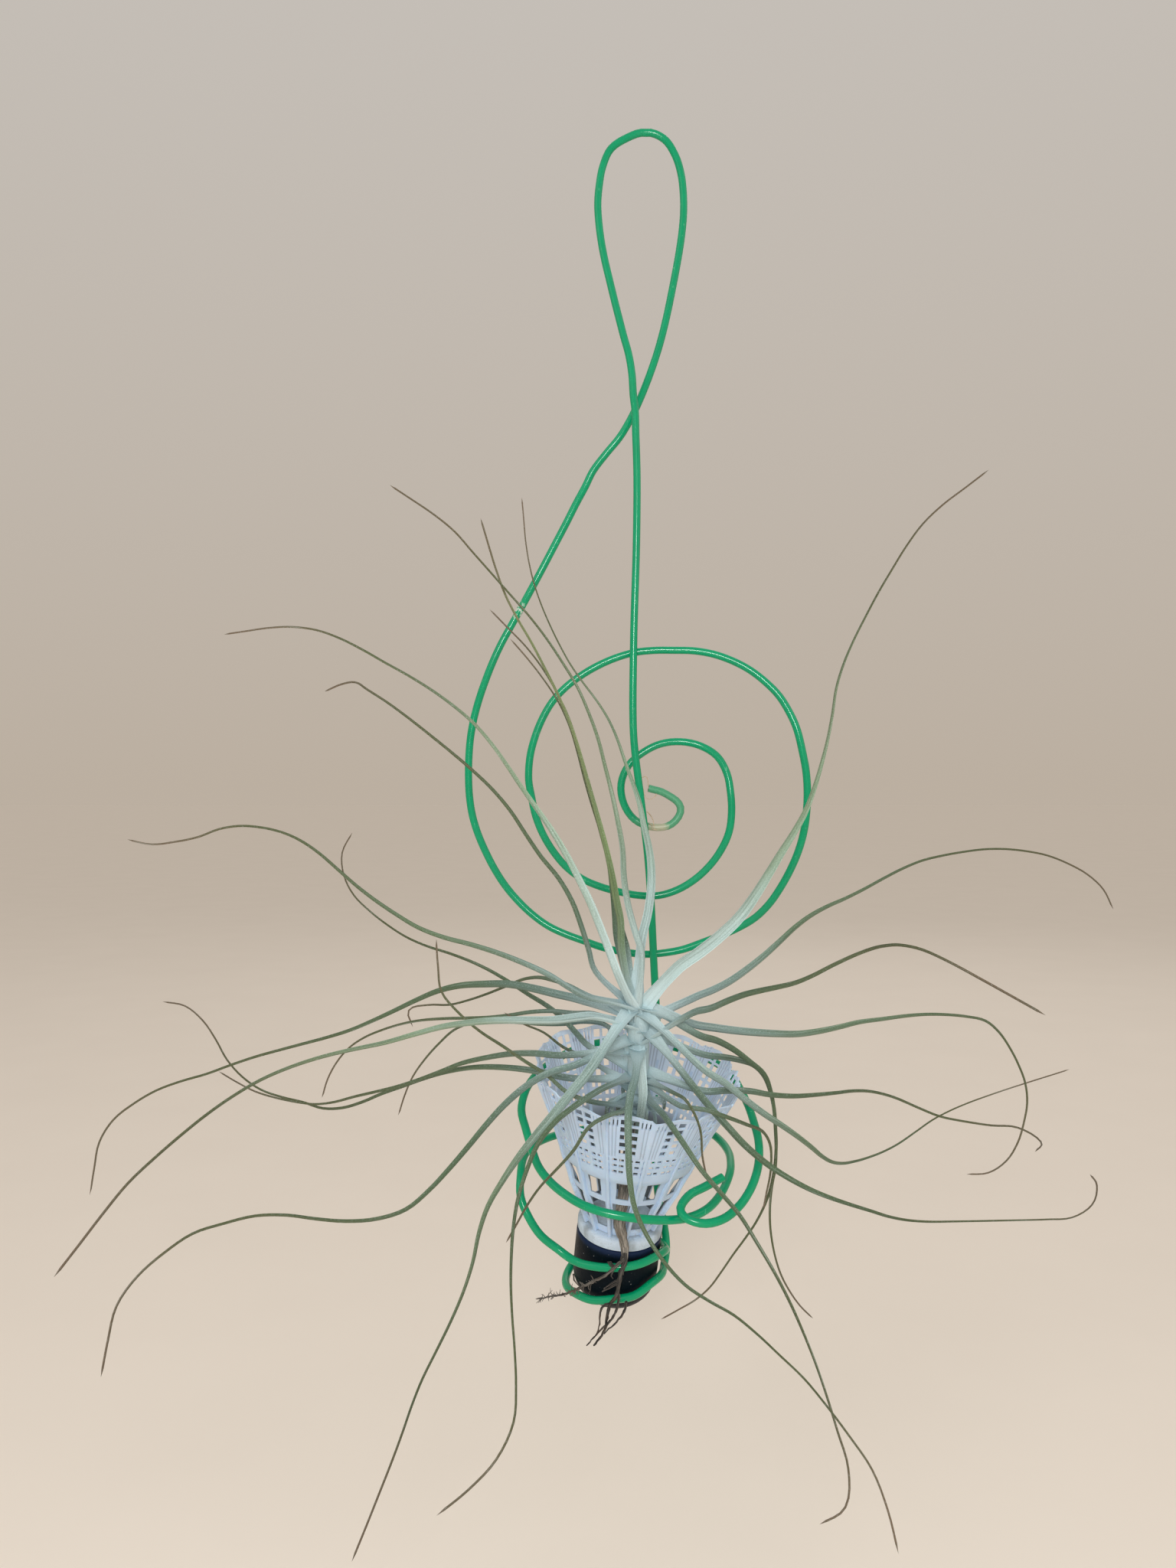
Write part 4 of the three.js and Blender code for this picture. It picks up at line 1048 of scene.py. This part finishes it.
def makeRoots(chance):
    mesh = bmesh.new()
    for number, (radius, route) in enumerate(roots):
        run = throughPoints(sightLine(route), rootForm["step"])
        kinks = [point + anyWay(chance, rootForm["kink"]) * mm for point in run]

        def rootRadius(share, reach):
            swell = 1 + rootForm["swell"] * sin(reach * rootForm["waves"] + number)
            return radius * mm * (1 - rootForm["taper"] * share) * swell

        tone = rootForm["paler"].get(number, rootForm["tone"])
        roundBar(mesh, kinks, rootRadius, rootForm["sides"], rootForm["wobble"], number, tone=tone)
    branch = throughPoints(sightLine(roots[rootlets["root"]][1]), rootlets["rootStep"])
    side = Vector(rootlets["up"]).normalized()
    for number in range(rootlets["count"]):
        start = branch[chance.randint(rootlets["firstStart"], len(branch) - 2)]
        way = Vector([chance.uniform(*span) for span in rootlets["leans"]])
        reach = chance.uniform(*rootlets["lengths"]) * mm
        end = start + way.normalized() * reach
        bend = start.lerp(end, 0.5) + anyWay(chance, rootlets["bend"]) * mm
        line = throughPoints([start, bend, end], rootlets["step"])
        roundBar(
            mesh, line,
            lambda share, reach: rootlets["radius"] * mm * (rootlets["foot"] - rootlets["taper"] * share),
            rootlets["sides"], rootlets["wobble"], number, side, rootlets["tone"])
    toPiece("dry_roots", mesh, looks["dead"])


makeWire(wireForm)
makeStrands(strandForm)
print("wire made")
makeSkirt()
makeFins()
makePadAndBase()
print("shuttlecock made")
makeStem()
makeHusks(husks)
deadChance = Random(oldStem["chance"])
makeOldStem(deadChance)
makeRoots(deadChance)
leafNodes = sorted(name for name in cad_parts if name.startswith("leaf_"))
for leafNumber, leafNode in enumerate(leafNodes):
    makeLeaf(leafForm, leafNode, leafNumber)
print("plant made:", len(leafNodes), "leaves")


# A plain pale floor in soft light, in metres. At the horizon the air is as bright as the floor.
room = {
    "floorDrop": 0.04, "floorHalf": 12.0, "pale": (240, 230, 218), "mottle": 4,
    "airLow": (0.500, 0.430, 0.356, 1), "airHigh": (0.60, 0.585, 0.565, 1),
}
lamps = [  # name, place, size and power
    ("front_lamp", (-0.06, -0.75, -0.05), 0.18, 2.9), ("soft_left", (-0.9, -0.7, 0.5), 0.9, 1.6),
    ("soft_right", (0.9, -0.3, 0.3), 0.9, 1.0), ("soft_back", (0.2, 0.9, 0.5), 0.9, 1.2),
]
lampTarget = Vector((0, -0.05, -0.25))


def makeFloor():
    look = Look("pale_floor", Specular_IOR_Level=0.1)
    paler = [value + room["mottle"] for value in room["pale"]]
    look.colour = look.mix(look.grain(60.0), tint(*room["pale"]), tint(*paler))
    look.finish(0.85 + look.grain(8.0) * 0.1)
    mesh = bmesh.new()
    ops.create_grid(mesh, x_segments=1, y_segments=1, size=room["floorHalf"])
    ops.translate(mesh, vec=(0, 0, cadBox[0][2] - room["floorDrop"]), verts=mesh.verts)
    floor = addMesh("floor", mesh, look.material)


def makeAir():
    world = bpy.data.worlds.new("air")
    world.use_nodes = True
    air = Tree(world.node_tree)
    height = air.node("SeparateXYZ", {}, {0: air.node("TexCoord", output="Generated")}, "Z")
    shade = air.mix(height, room["airLow"], room["airHigh"])
    air.tree.links.new(shade.socket, air.tree.nodes["Background"].inputs["Color"])
    bpy.context.scene.world = world


def addLamp(name, place, size, power):
    data = bpy.data.lights.new(name, "AREA")
    data.shape = "DISK"
    data.size = size
    data.energy = power
    lamp = addThing(name, data)
    lamp.location = place
    lamp.rotation_euler = (lampTarget - Vector(place)).to_track_quat("-Z", "Y").to_euler()


makeFloor()
makeAir()
for lamp in lamps:
    addLamp(*lamp)
bpy.context.scene.view_settings.view_transform = "Standard"
print("stage set")
